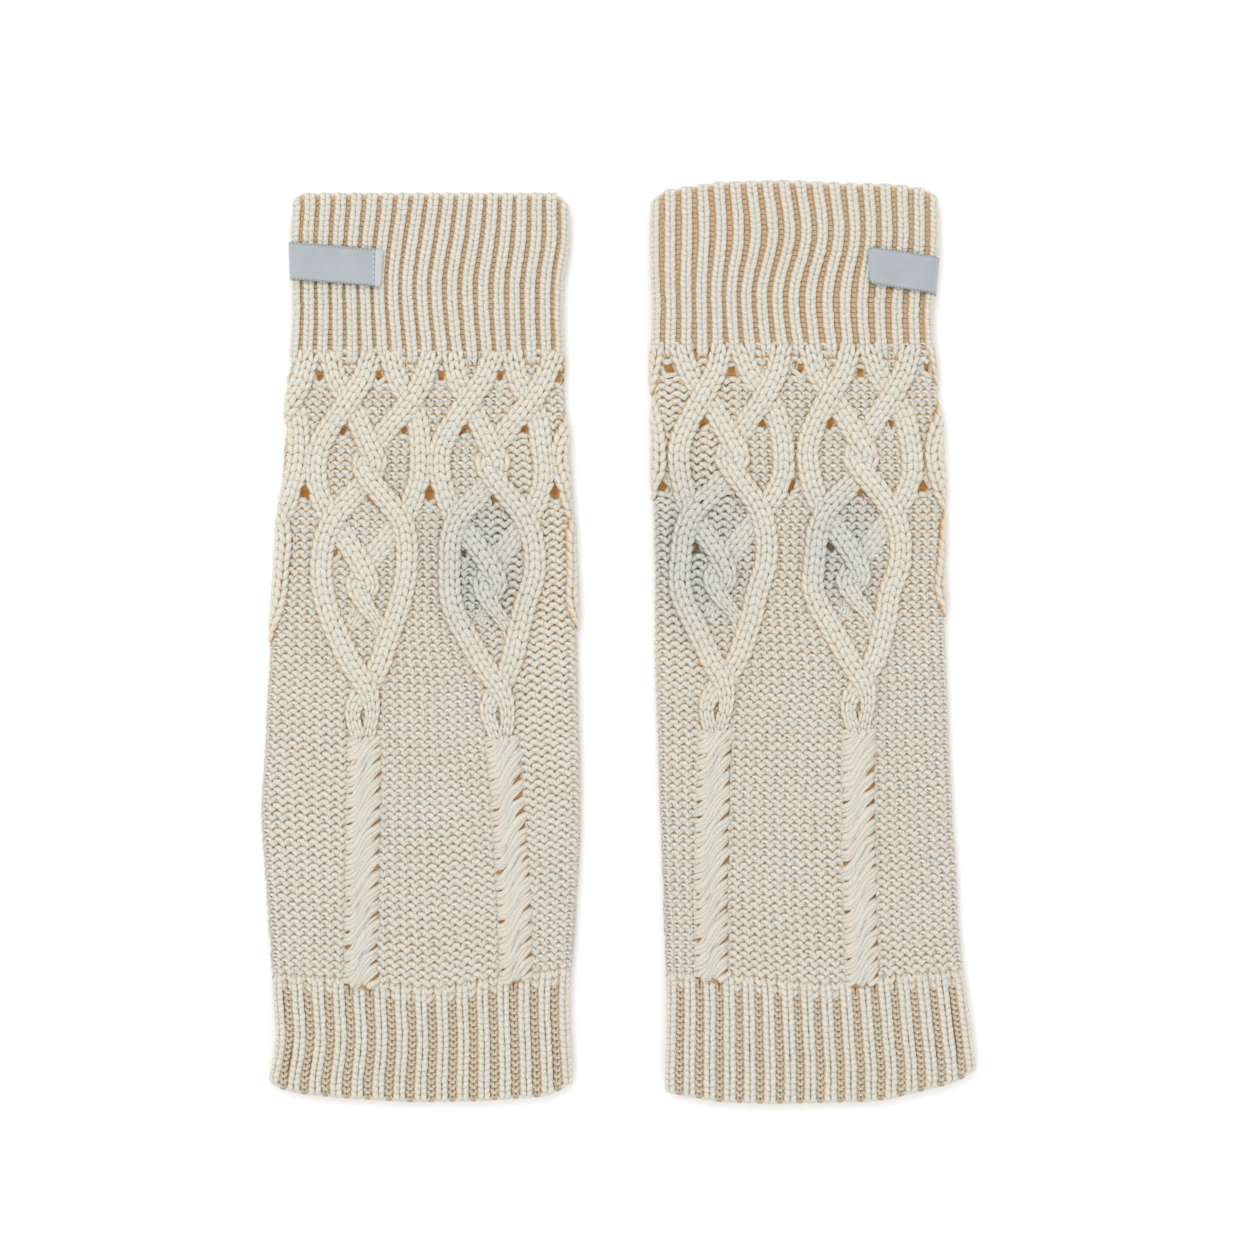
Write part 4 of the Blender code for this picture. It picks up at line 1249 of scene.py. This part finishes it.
class NodeBoard:
    """Places a material's nodes, sets their inputs and joins them."""

    def __init__(self, name, finish):
        self.material = bpy.data.materials.new(name)
        self.material.use_nodes = True
        self.tree = self.material.node_tree
        self.shader = self.tree.nodes["Principled BSDF"]
        self.place = 0
        self.fill(self.shader, finish)

    def fill(self, node, inputs):
        """Set a node's inputs to values, or join them to the outputs of other nodes."""
        for key, value in inputs.items():
            if isinstance(value, bpy.types.NodeSocket):
                self.tree.links.new(value, node.inputs[key])
            else:
                node.inputs[key].default_value = value

    def node(self, kind, inputs=None, **settings):
        """A new node, to the left of the last four."""
        made = self.tree.nodes.new(kind)
        made.location = (-200 * (self.place // 4 + 2), -260 * (self.place % 4))
        self.place += 1
        for key, value in settings.items():
            setattr(made, key, value)
        self.fill(made, inputs or {})
        return made

    def split(self, source):
        """The X, Y and Z of a vector."""
        return self.node("ShaderNodeSeparateXYZ", {0: source}).outputs

    def yarn_places(self):
        """Distance along and place round the yarn, from the piece's UV map."""
        return self.split(self.node("ShaderNodeUVMap", uv_map="yarn").outputs[0])[:2]

    def own_places(self):
        """Places in the piece's own coordinates."""
        return self.node("ShaderNodeTexCoord").outputs["Object"]

    def value(self, attribute):
        """An attribute of the piece's points."""
        return self.node("ShaderNodeAttribute", attribute_name=attribute).outputs["Fac"]

    def math(self, operation, *values):
        """A sum, product or other operation on values."""
        return self.node("ShaderNodeMath", dict(enumerate(values)), operation=operation).outputs[0]

    def wave(self, place, length, operation="SINE"):
        """A sine or cosine of a place, with one turn to each length."""
        return self.math(operation, self.math("MULTIPLY", place, 2 * np.pi / length))

    def away(self, place, middle):
        """Distance of a place from a middle."""
        return self.math("ABSOLUTE", self.math("SUBTRACT", place, middle))

    def mix(self, factor, first, second, amount=1.0):
        """From the first colour to the second, by an amount of the factor."""
        if amount < 1.0:
            factor = self.math("MULTIPLY", factor, amount)
        colours = {0: factor, 6: first, 7: second}
        return self.node("ShaderNodeMix", colours, data_type="RGBA").outputs[2]

    def noise(self, scale, detail=2.0, roughness=0.5):
        """Noise over the piece's own places."""
        inputs = {"Scale": scale, "Detail": detail, "Roughness": roughness}
        made = self.node("ShaderNodeTexNoise", {"Vector": self.own_places(), **inputs})
        return made.outputs["Fac"]

    def bump(self, height, distance, strength, below=None):
        """Relief by a height, on that of another bump below it."""
        inputs = {"Height": height, "Distance": distance, "Strength": strength}
        if below is not None:
            inputs["Normal"] = below
        return self.node("ShaderNodeBump", inputs).outputs["Normal"]

    def done(self, **inputs):
        """Join the colour and the relief to the shader, and give the material."""
        self.fill(self.shader, {key.replace("_", " "): inputs[key] for key in inputs})
        return self.material


def linear(red, green, blue):
    """A colour given as screen values from 0 to 255, as the shader's linear values."""
    values = np.array([red, green, blue]) / 255.0
    low = values / 12.92
    high = ((values + 0.055) / 1.055) ** 2.4
    return tuple(float(v) for v in np.where(values <= 0.04045, low, high)) + (1.0,)


# How slowly the crevices' painted shade sets in with the depth, and the yarn's ply: its turns round the
# yarn in a millimetre, and the share of a turn from one ply to the next
PAINTED_SHADE_POWER = 1.7
PLY_TURNS = 0.75
PLY_LENGTH = 0.5


def yarn_material(name, wool, sheen):
    """Soft plied yarn: cream on top, painted warm shade in the crevices, painted grey shade in the
    patches.

    The ply is a sine wave that turns round the yarn as it goes along, with fibres over it.
    """
    board = NodeBoard(name, {
        "Roughness": 0.88, "Specular IOR Level": 0.25, "Sheen Weight": sheen,
        "Sheen Roughness": 0.6, "Sheen Tint": linear(250, 244, 230), "Subsurface Weight": 0.45,
        "Subsurface Radius": (1.0, 0.72, 0.48), "Subsurface Scale": 0.0009,
    })
    along, round_it = board.yarn_places()
    tint = board.value("tint")
    cream = board.mix(board.noise(scale=60.0), wool.cream, wool.cream_warm)
    flecks = board.noise(scale=900.0, detail=3.0, roughness=0.6)
    cream = board.mix(flecks, cream, wool.cream_shade, amount=0.25)
    # Painted shade: greyer in the patches, and the crevices' colours by the depth attribute
    cream = board.mix(tint, cream, wool.cream_grey, amount=0.5)
    warm = board.mix(tint, wool.crevice, wool.crevice_grey)
    colour = board.mix(board.math("POWER", board.value("depth"), PAINTED_SHADE_POWER), cream, warm)
    ply = board.wave(board.math("MULTIPLY_ADD", along, PLY_TURNS, round_it), PLY_LENGTH)
    fibres = board.noise(scale=2600.0, detail=2.0, roughness=0.7)
    twisted = board.bump(ply, distance=0.00010, strength=0.5)
    relief = board.bump(fibres, distance=0.00018, strength=0.6, below=twisted)
    return board.done(Base_Color=colour, Normal=relief)


def wall_material(name, wool, sway, stitch_width, row_height):
    """The knit behind the loops: painted warm shade in the eyelets and crevices, cream on the underside.

    Its stitches are cosine rows that sway across by another cosine, with painted shade between the rows.
    """
    board = NodeBoard(name, {
        "Roughness": 0.95, "Specular IOR Level": 0.15, "Sheen Weight": 0.1,
    })
    across, up = board.yarn_places()
    sideways = board.math("MULTIPLY", board.wave(across, stitch_width, "COSINE"), sway)
    rows = board.math("COSINE", board.math("MULTIPLY_ADD", up, 2 * np.pi / row_height, sideways))
    height = board.math("MULTIPLY_ADD", rows, 0.5, 0.5)
    under = board.node("ShaderNodeMapRange", {
        "Value": board.split(board.own_places())["Z"], "To Min": 1.0, "To Max": 0.0,
        "From Min": UNDER_TOP[0] * MM, "From Max": UNDER_TOP[1] * MM,
    })
    flecks = board.noise(scale=700.0, detail=3.0, roughness=0.6)
    yarn = board.mix(flecks, wool.cream, wool.cream_shade)
    # Painted shade in the grooves between the underside's rows
    back = board.mix(height, wool.crevice, yarn)
    # Painted shade on the front: of the crevices, greyer in the patches, and darker in the eyelets
    warm = board.mix(board.value("tint"), wool.crevice_deep, wool.crevice_grey, amount=0.8)
    front = board.mix(board.value("depth"), warm, wool.hole)
    colour = board.mix(under.outputs[0], front, back)
    relief = board.bump(height, distance=0.0006, strength=0.9)
    return board.done(Base_Color=colour, Normal=relief)


# The tape's colours: satin and its mottling, the threads across it, its woven edge, the end that
# is turned under, and the painted shade in the dip along the sewing line
SATIN = linear(180, 186, 189)
SATIN_MOTTLE = linear(158, 165, 169)
SATIN_THREADS = linear(140, 148, 154)
SATIN_EDGE = linear(112, 120, 128)
SATIN_TURNED = linear(196, 200, 204)
SATIN_SEWN_SHADE = linear(128, 136, 144)
# Lengths of its weave along and up, and of the picks in its edge, and how wide the edge and half
# the sewing line are
WEAVE = (0.70, 0.60)
PICKS = 1.15
SELVEDGE = 0.7
SEWN_LINE = 0.3


def tape_material(name):
    """Woven satin tape: fine ribs across, a firmer woven edge and a soft sheen."""
    board = NodeBoard(name, {
        "Roughness": 0.42, "Specular IOR Level": 0.45, "Sheen Weight": 0.15,
    })
    along, up = board.yarn_places()
    weave = board.math("MULTIPLY", board.wave(along, WEAVE[0]), board.wave(up, WEAVE[1]))
    satin = board.mix(board.noise(scale=150.0, detail=3.0), SATIN, SATIN_MOTTLE)
    satin = board.mix(board.math("MULTIPLY_ADD", weave, 0.30, 0.30), satin, SATIN_THREADS)
    selvedge = board.math("GREATER_THAN", board.away(up, TAPE_MIDDLE), TAPE_MIDDLE - SELVEDGE)
    picks = board.math("MULTIPLY_ADD", board.wave(along, PICKS), 0.5, 0.5)
    dots = board.math("MULTIPLY", selvedge, picks)
    satin = board.mix(dots, satin, SATIN_EDGE, amount=0.7)
    turned = board.math("LESS_THAN", along, TAPE_TURN - SEWN_LINE)
    satin = board.mix(turned, satin, SATIN_TURNED, amount=0.6)
    # Painted shade in the dip along the sewing line
    sewn = board.math("LESS_THAN", board.away(along, TAPE_TURN), SEWN_LINE)
    satin = board.mix(sewn, satin, SATIN_SEWN_SHADE, amount=0.5)
    relief = board.bump(weave, distance=0.00008, strength=0.7)
    return board.done(Base_Color=satin, Normal=relief)


# The sewing thread's colours, and its twist: turns round it in a millimetre
THREAD_LIGHT = linear(214, 218, 222)
THREAD_DARK = linear(182, 188, 194)
THREAD_TURNS = 3.0


def thread_material(name):
    """Fine polyester sewing thread with its twist."""
    board = NodeBoard(name, {"Roughness": 0.5})
    along, round_it = board.yarn_places()
    ply = board.wave(board.math("MULTIPLY_ADD", along, THREAD_TURNS, round_it), 1.0)
    shade = board.math("MULTIPLY_ADD", ply, 0.3, 0.4)
    colour = board.mix(shade, THREAD_LIGHT, THREAD_DARK)
    relief = board.bump(ply, distance=0.00003, strength=0.5)
    return board.done(Base_Color=colour, Normal=relief)


def floor_material():
    """Plain pale ground with the faintest mottling."""
    board = NodeBoard("pale_floor", {"Roughness": 0.95, "Specular IOR Level": 0.1})
    colour = board.mix(board.noise(scale=4.0), linear(252, 252, 252), linear(249, 249, 249))
    return board.done(Base_Color=colour)


Wool = namedtuple(
    "Wool", "cream cream_warm cream_shade cream_grey crevice crevice_grey crevice_deep hole",
)


def wool_colours(context):
    """The wool's colours, as set in the panel."""
    settings = context.scene.leg_warmer_wool
    return Wool(*(tuple(getattr(settings, name)) for name in Wool._fields))


def finish(mesh, name, material, slot):
    """Build a piece and give it its material and the body that it rides on; the slot is not used."""
    piece = mesh.build(name)
    piece.data.materials.append(material)
    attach(piece, BODY)
    return piece


def colour_property(name, description, colour):
    """A colour setting for the panel."""
    return bpy.props.FloatVectorProperty(
        name=name, description=description, subtype="COLOR", size=4, min=0.0, max=1.0,
        default=colour,
    )


class WoolSettings(bpy.types.PropertyGroup):
    """Colours of the yarn."""

    cream: colour_property("Cream", "Yarn where it lies on top", linear(215, 214, 207))
    cream_warm: colour_property("Warm cream", "Slow variation in the yarn", linear(212, 207, 194))
    cream_shade: colour_property("Cream shade", "Fine flecks between fibres", linear(194, 188, 168))
    # Painted shade, greyer and cooler, in the patches
    cream_grey: colour_property("Grey cream", "Yarn in the cooler patches", linear(192, 194, 187))
    # Painted shade: the colours of the crevices, of the knit seen behind the loops and of the inside of
    # an eyelet
    crevice: colour_property("Crevice", "Yarn where it turns under", linear(201, 152, 80))
    crevice_grey: colour_property("Grey crevice", "Crevices in the cooler patches", linear(84, 92, 80))
    crevice_deep: colour_property("Deep crevice", "The knit behind the loops", linear(190, 146, 92))
    hole: colour_property("Eyelet", "Inside of an eyelet", linear(172, 116, 50))


# The photograph's scale in pixels to a metre of knit, the width of its frame and the middle of
# the frame, across and up, in pixels
PIXELS = 3000.0
FRAME_PIXELS = 1250.0
AIM_PIXELS = (6.5, 17.0)


class StageSettings(bpy.types.PropertyGroup):
    """Camera and light."""

    lens: bpy.props.FloatProperty(
        name="Lens", description="Focal length of the camera", default=100.0, min=20.0, subtype="NONE",
    )
    frame_width: bpy.props.FloatProperty(
        name="Frame width", description="Width of the photograph at the knit's surface",
        default=FRAME_PIXELS / PIXELS, unit="LENGTH",
    )
    aim_x: bpy.props.FloatProperty(
        name="Aim across", description="Middle of the frame, across",
        default=AIM_PIXELS[0] / PIXELS, unit="LENGTH",
    )
    aim_y: bpy.props.FloatProperty(
        name="Aim up", description="Middle of the frame, up",
        default=AIM_PIXELS[1] / PIXELS, unit="LENGTH",
    )
    key_power: bpy.props.FloatProperty(
        name="Key light", description="Power of the large soft light", default=4.2, min=0.0, unit="POWER",
    )
    sky: bpy.props.FloatProperty(
        name="Sky", description="Strength of the even light from all round", default=1.12, min=0.0,
    )


class LEGWARMERS_OT_walls(bpy.types.Operator):
    """Make the knitted walls of both warmers"""

    bl_idname = "leg_warmers.walls"
    bl_label = "Knitted walls"

    def execute(self, context):
        wool = wool_colours(context)
        knits = {
            "leg_knit": wall_material("leg_wall", wool, 1.1, 3.5, 2.7),
            "cuff_knit": wall_material("cuff_wall", wool, 0.5, 2.4, CUFF_KNIT.step),
            "hem_knit": wall_material("hem_wall", wool, 0.6, 3.3, HEM_KNIT.step),
        }
        for form in FORMS:
            for stretch in STRETCHES:
                name = form.name + "_" + stretch.name
                mesh, slot = make_wall(form, stretch), stretch.slot
                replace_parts(finish(mesh, name + "_wall", knits[slot], slot), name)
        return {"FINISHED"}


class LEGWARMERS_OT_ground(bpy.types.Operator):
    """Lay the purl loops of the ground on both legs"""

    bl_idname = "leg_warmers.ground"
    bl_label = "Purl ground"

    def execute(self, context):
        material = yarn_material("ground_yarn", wool_colours(context), 0.25)
        for form in FORMS:
            finish(make_ground(form), form.name + "_ground_loops", material, "leg_knit")
        return {"FINISHED"}


class LEGWARMERS_OT_cables(bpy.types.Operator):
    """Lay the cable strands and the ropes on both legs"""

    bl_idname = "leg_warmers.cables"
    bl_label = "Cables and ropes"

    def execute(self, context):
        material = yarn_material("cable_yarn", wool_colours(context), 0.3)
        for form in FORMS:
            finish(make_cables(form), form.name + "_cable_stitches", material, "leg_knit")
            finish(make_ropes(form), form.name + "_rope_wraps", material, "leg_knit")
        return {"FINISHED"}


class LEGWARMERS_OT_ribs(bpy.types.Operator):
    """Lay the ribs of the upper and lower cuffs"""

    bl_idname = "leg_warmers.ribs"
    bl_label = "Ribbed cuffs"

    def execute(self, context):
        material = yarn_material("rib_yarn", wool_colours(context), 0.25)
        for form in FORMS:
            ribs, hem_ribs = form.warmer.ribs, form.warmer.hem_ribs
            cuff = make_ribs(form, CUFF_KNIT, ribs, "seam", "top_rim", CUFF_SEED)
            add_bars(cuff, form)
            add_rim_yarn(cuff, form, "top_rim", ribs, True)
            finish(cuff, form.name + "_cuff_stitches", material, "cuff_knit")
            hem = make_ribs(form, HEM_KNIT, hem_ribs, "hem_rim", "hem_seam", HEM_SEED)
            add_furrows(hem, form)
            add_rim_yarn(hem, form, "hem_rim", hem_ribs, False)
            finish(hem, form.name + "_hem_stitches", material, "hem_knit")
        return {"FINISHED"}


class LEGWARMERS_OT_labels(bpy.types.Operator):
    """Fold a bare satin label round the outer edge of each upper cuff"""

    bl_idname = "leg_warmers.labels"
    bl_label = "Side labels"

    def execute(self, context):
        satin, thread = tape_material("label_satin"), thread_material("label_thread")
        for form in FORMS:
            name = form.name + "_label"
            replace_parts(finish(make_tape(form), name + "_tape", satin, "label_satin"), name)
            if form.warmer.label.sewn:
                finish(make_tape_thread(form), name + "_thread", thread, "label_satin")
        return {"FINISHED"}


# Places at which a stretch is measured for its cut size
FLAT_POINTS = 20


def flat_size(form, lower, upper):
    """Cut size of a stretch of tube: twice its mean width, and its mean length, in metres."""
    y = np.linspace(form.line(lower, 0.0), form.line(upper, 0.0), FLAT_POINTS)
    left, right = form.folds(y, 0.0)
    x = np.linspace(*form.folds(y.mean(), 0.0), FLAT_POINTS)
    length = np.mean(form.line(upper, x) - form.line(lower, x))
    return float(2 * np.mean(right - left) * MM), float(length * MM)


class LEGWARMERS_OT_declare(bpy.types.Operator):
    """Work out the cut size of each stretch of knitted tube and the run of each label tape, and keep
    neither
    """

    bl_idname = "leg_warmers.declare"
    bl_label = "State the cloth"

    def execute(self, context):
        for form in FORMS:
            for stretch in STRETCHES:
                flat_size(form, stretch.lower, stretch.upper)
            _, run = tape_surface(form, TAPE_CLEARANCE)
        return {"FINISHED"}


# The stage, in metres: the floor's half width and its place just under the knit, the soft
# light's size, place and turn, and the camera's sensor, in millimetres, and nearest distance
FLOOR_HALF = 3.0
FLOOR_DROP = -0.0004
LIGHT_SIZE = 0.9
LIGHT_PLACE = (-0.35, 0.65, 1.1)
LIGHT_TURN = (-0.53, -0.30, 0.0)
SENSOR_WIDTH = 36.0
CLIP_START = 0.01


class LEGWARMERS_OT_stage(bpy.types.Operator):
    """Set the pale floor, the soft light and the camera straight above"""

    bl_idname = "leg_warmers.stage"
    bl_label = "Floor, light and camera"

    def execute(self, context):
        scene = context.scene
        settings = scene.leg_warmer_stage
        mesh = bpy.data.meshes.new("floor")
        corners = ((-1, -1), (1, -1), (1, 1), (-1, 1))
        places = [(FLOOR_HALF * x, FLOOR_HALF * y, FLOOR_DROP) for x, y in corners]
        mesh.from_pydata(places, [], [(0, 1, 2, 3)])
        mesh.materials.append(floor_material())
        add_object("floor", mesh)

        world = bpy.data.worlds.new("soft_sky")
        world.use_nodes = True
        background = world.node_tree.nodes["Background"]
        background.inputs["Color"].default_value = (1.0, 1.0, 1.0, 1.0)
        background.inputs["Strength"].default_value = settings.sky
        scene.world = world

        light = bpy.data.lights.new("key", "AREA")
        light.shape = "DISK"
        light.size = LIGHT_SIZE
        light.energy = settings.key_power
        key = add_object("key", light)
        key.location = LIGHT_PLACE
        key.rotation_euler = LIGHT_TURN

        lens = bpy.data.cameras.new("camera")
        lens.lens = settings.lens
        lens.sensor_width = SENSOR_WIDTH
        lens.clip_start = CLIP_START
        camera = add_object("camera", lens)
        distance = settings.frame_width * settings.lens / SENSOR_WIDTH
        camera.location = (settings.aim_x, settings.aim_y, GROUND_TOP * MM + distance)
        scene.camera = camera
        scene.view_settings.view_transform = "Standard"
        return {"FINISHED"}


class LEGWARMERS_PT_panel(bpy.types.Panel):
    """The steps and settings of the leg warmers"""

    bl_idname = "LEGWARMERS_PT_panel"
    bl_label = "Leg Warmers"
    bl_space_type = "VIEW_3D"
    bl_region_type = "UI"
    bl_category = "Leg Warmers"

    def draw(self, context):
        for step in STEPS:
            self.layout.operator(step.bl_idname)
        for group in (context.scene.leg_warmer_wool, context.scene.leg_warmer_stage):
            for name in group.bl_rna.properties.keys():
                if name not in {"rna_type", "name"}:
                    self.layout.prop(group, name)


STEPS = (
    LEGWARMERS_OT_walls, LEGWARMERS_OT_ground, LEGWARMERS_OT_cables, LEGWARMERS_OT_ribs,
    LEGWARMERS_OT_labels, LEGWARMERS_OT_declare, LEGWARMERS_OT_stage,
)
CLASSES = (WoolSettings, StageSettings) + STEPS + (LEGWARMERS_PT_panel,)


def register():
    """Add the settings, the operators and the panel."""
    for each in CLASSES:
        bpy.utils.register_class(each)
    bpy.types.Scene.leg_warmer_wool = bpy.props.PointerProperty(type=WoolSettings)
    bpy.types.Scene.leg_warmer_stage = bpy.props.PointerProperty(type=StageSettings)


def unregister():
    """Take them away again."""
    del bpy.types.Scene.leg_warmer_stage
    del bpy.types.Scene.leg_warmer_wool
    for each in reversed(CLASSES):
        bpy.utils.unregister_class(each)


def main():
    """Build everything in order."""
    register()
    bpy.ops.leg_warmers.walls()
    bpy.ops.leg_warmers.ground()
    bpy.ops.leg_warmers.cables()
    bpy.ops.leg_warmers.ribs()
    bpy.ops.leg_warmers.labels()
    bpy.ops.leg_warmers.declare()
    bpy.ops.leg_warmers.stage()


if __name__ == "__main__":
    main()
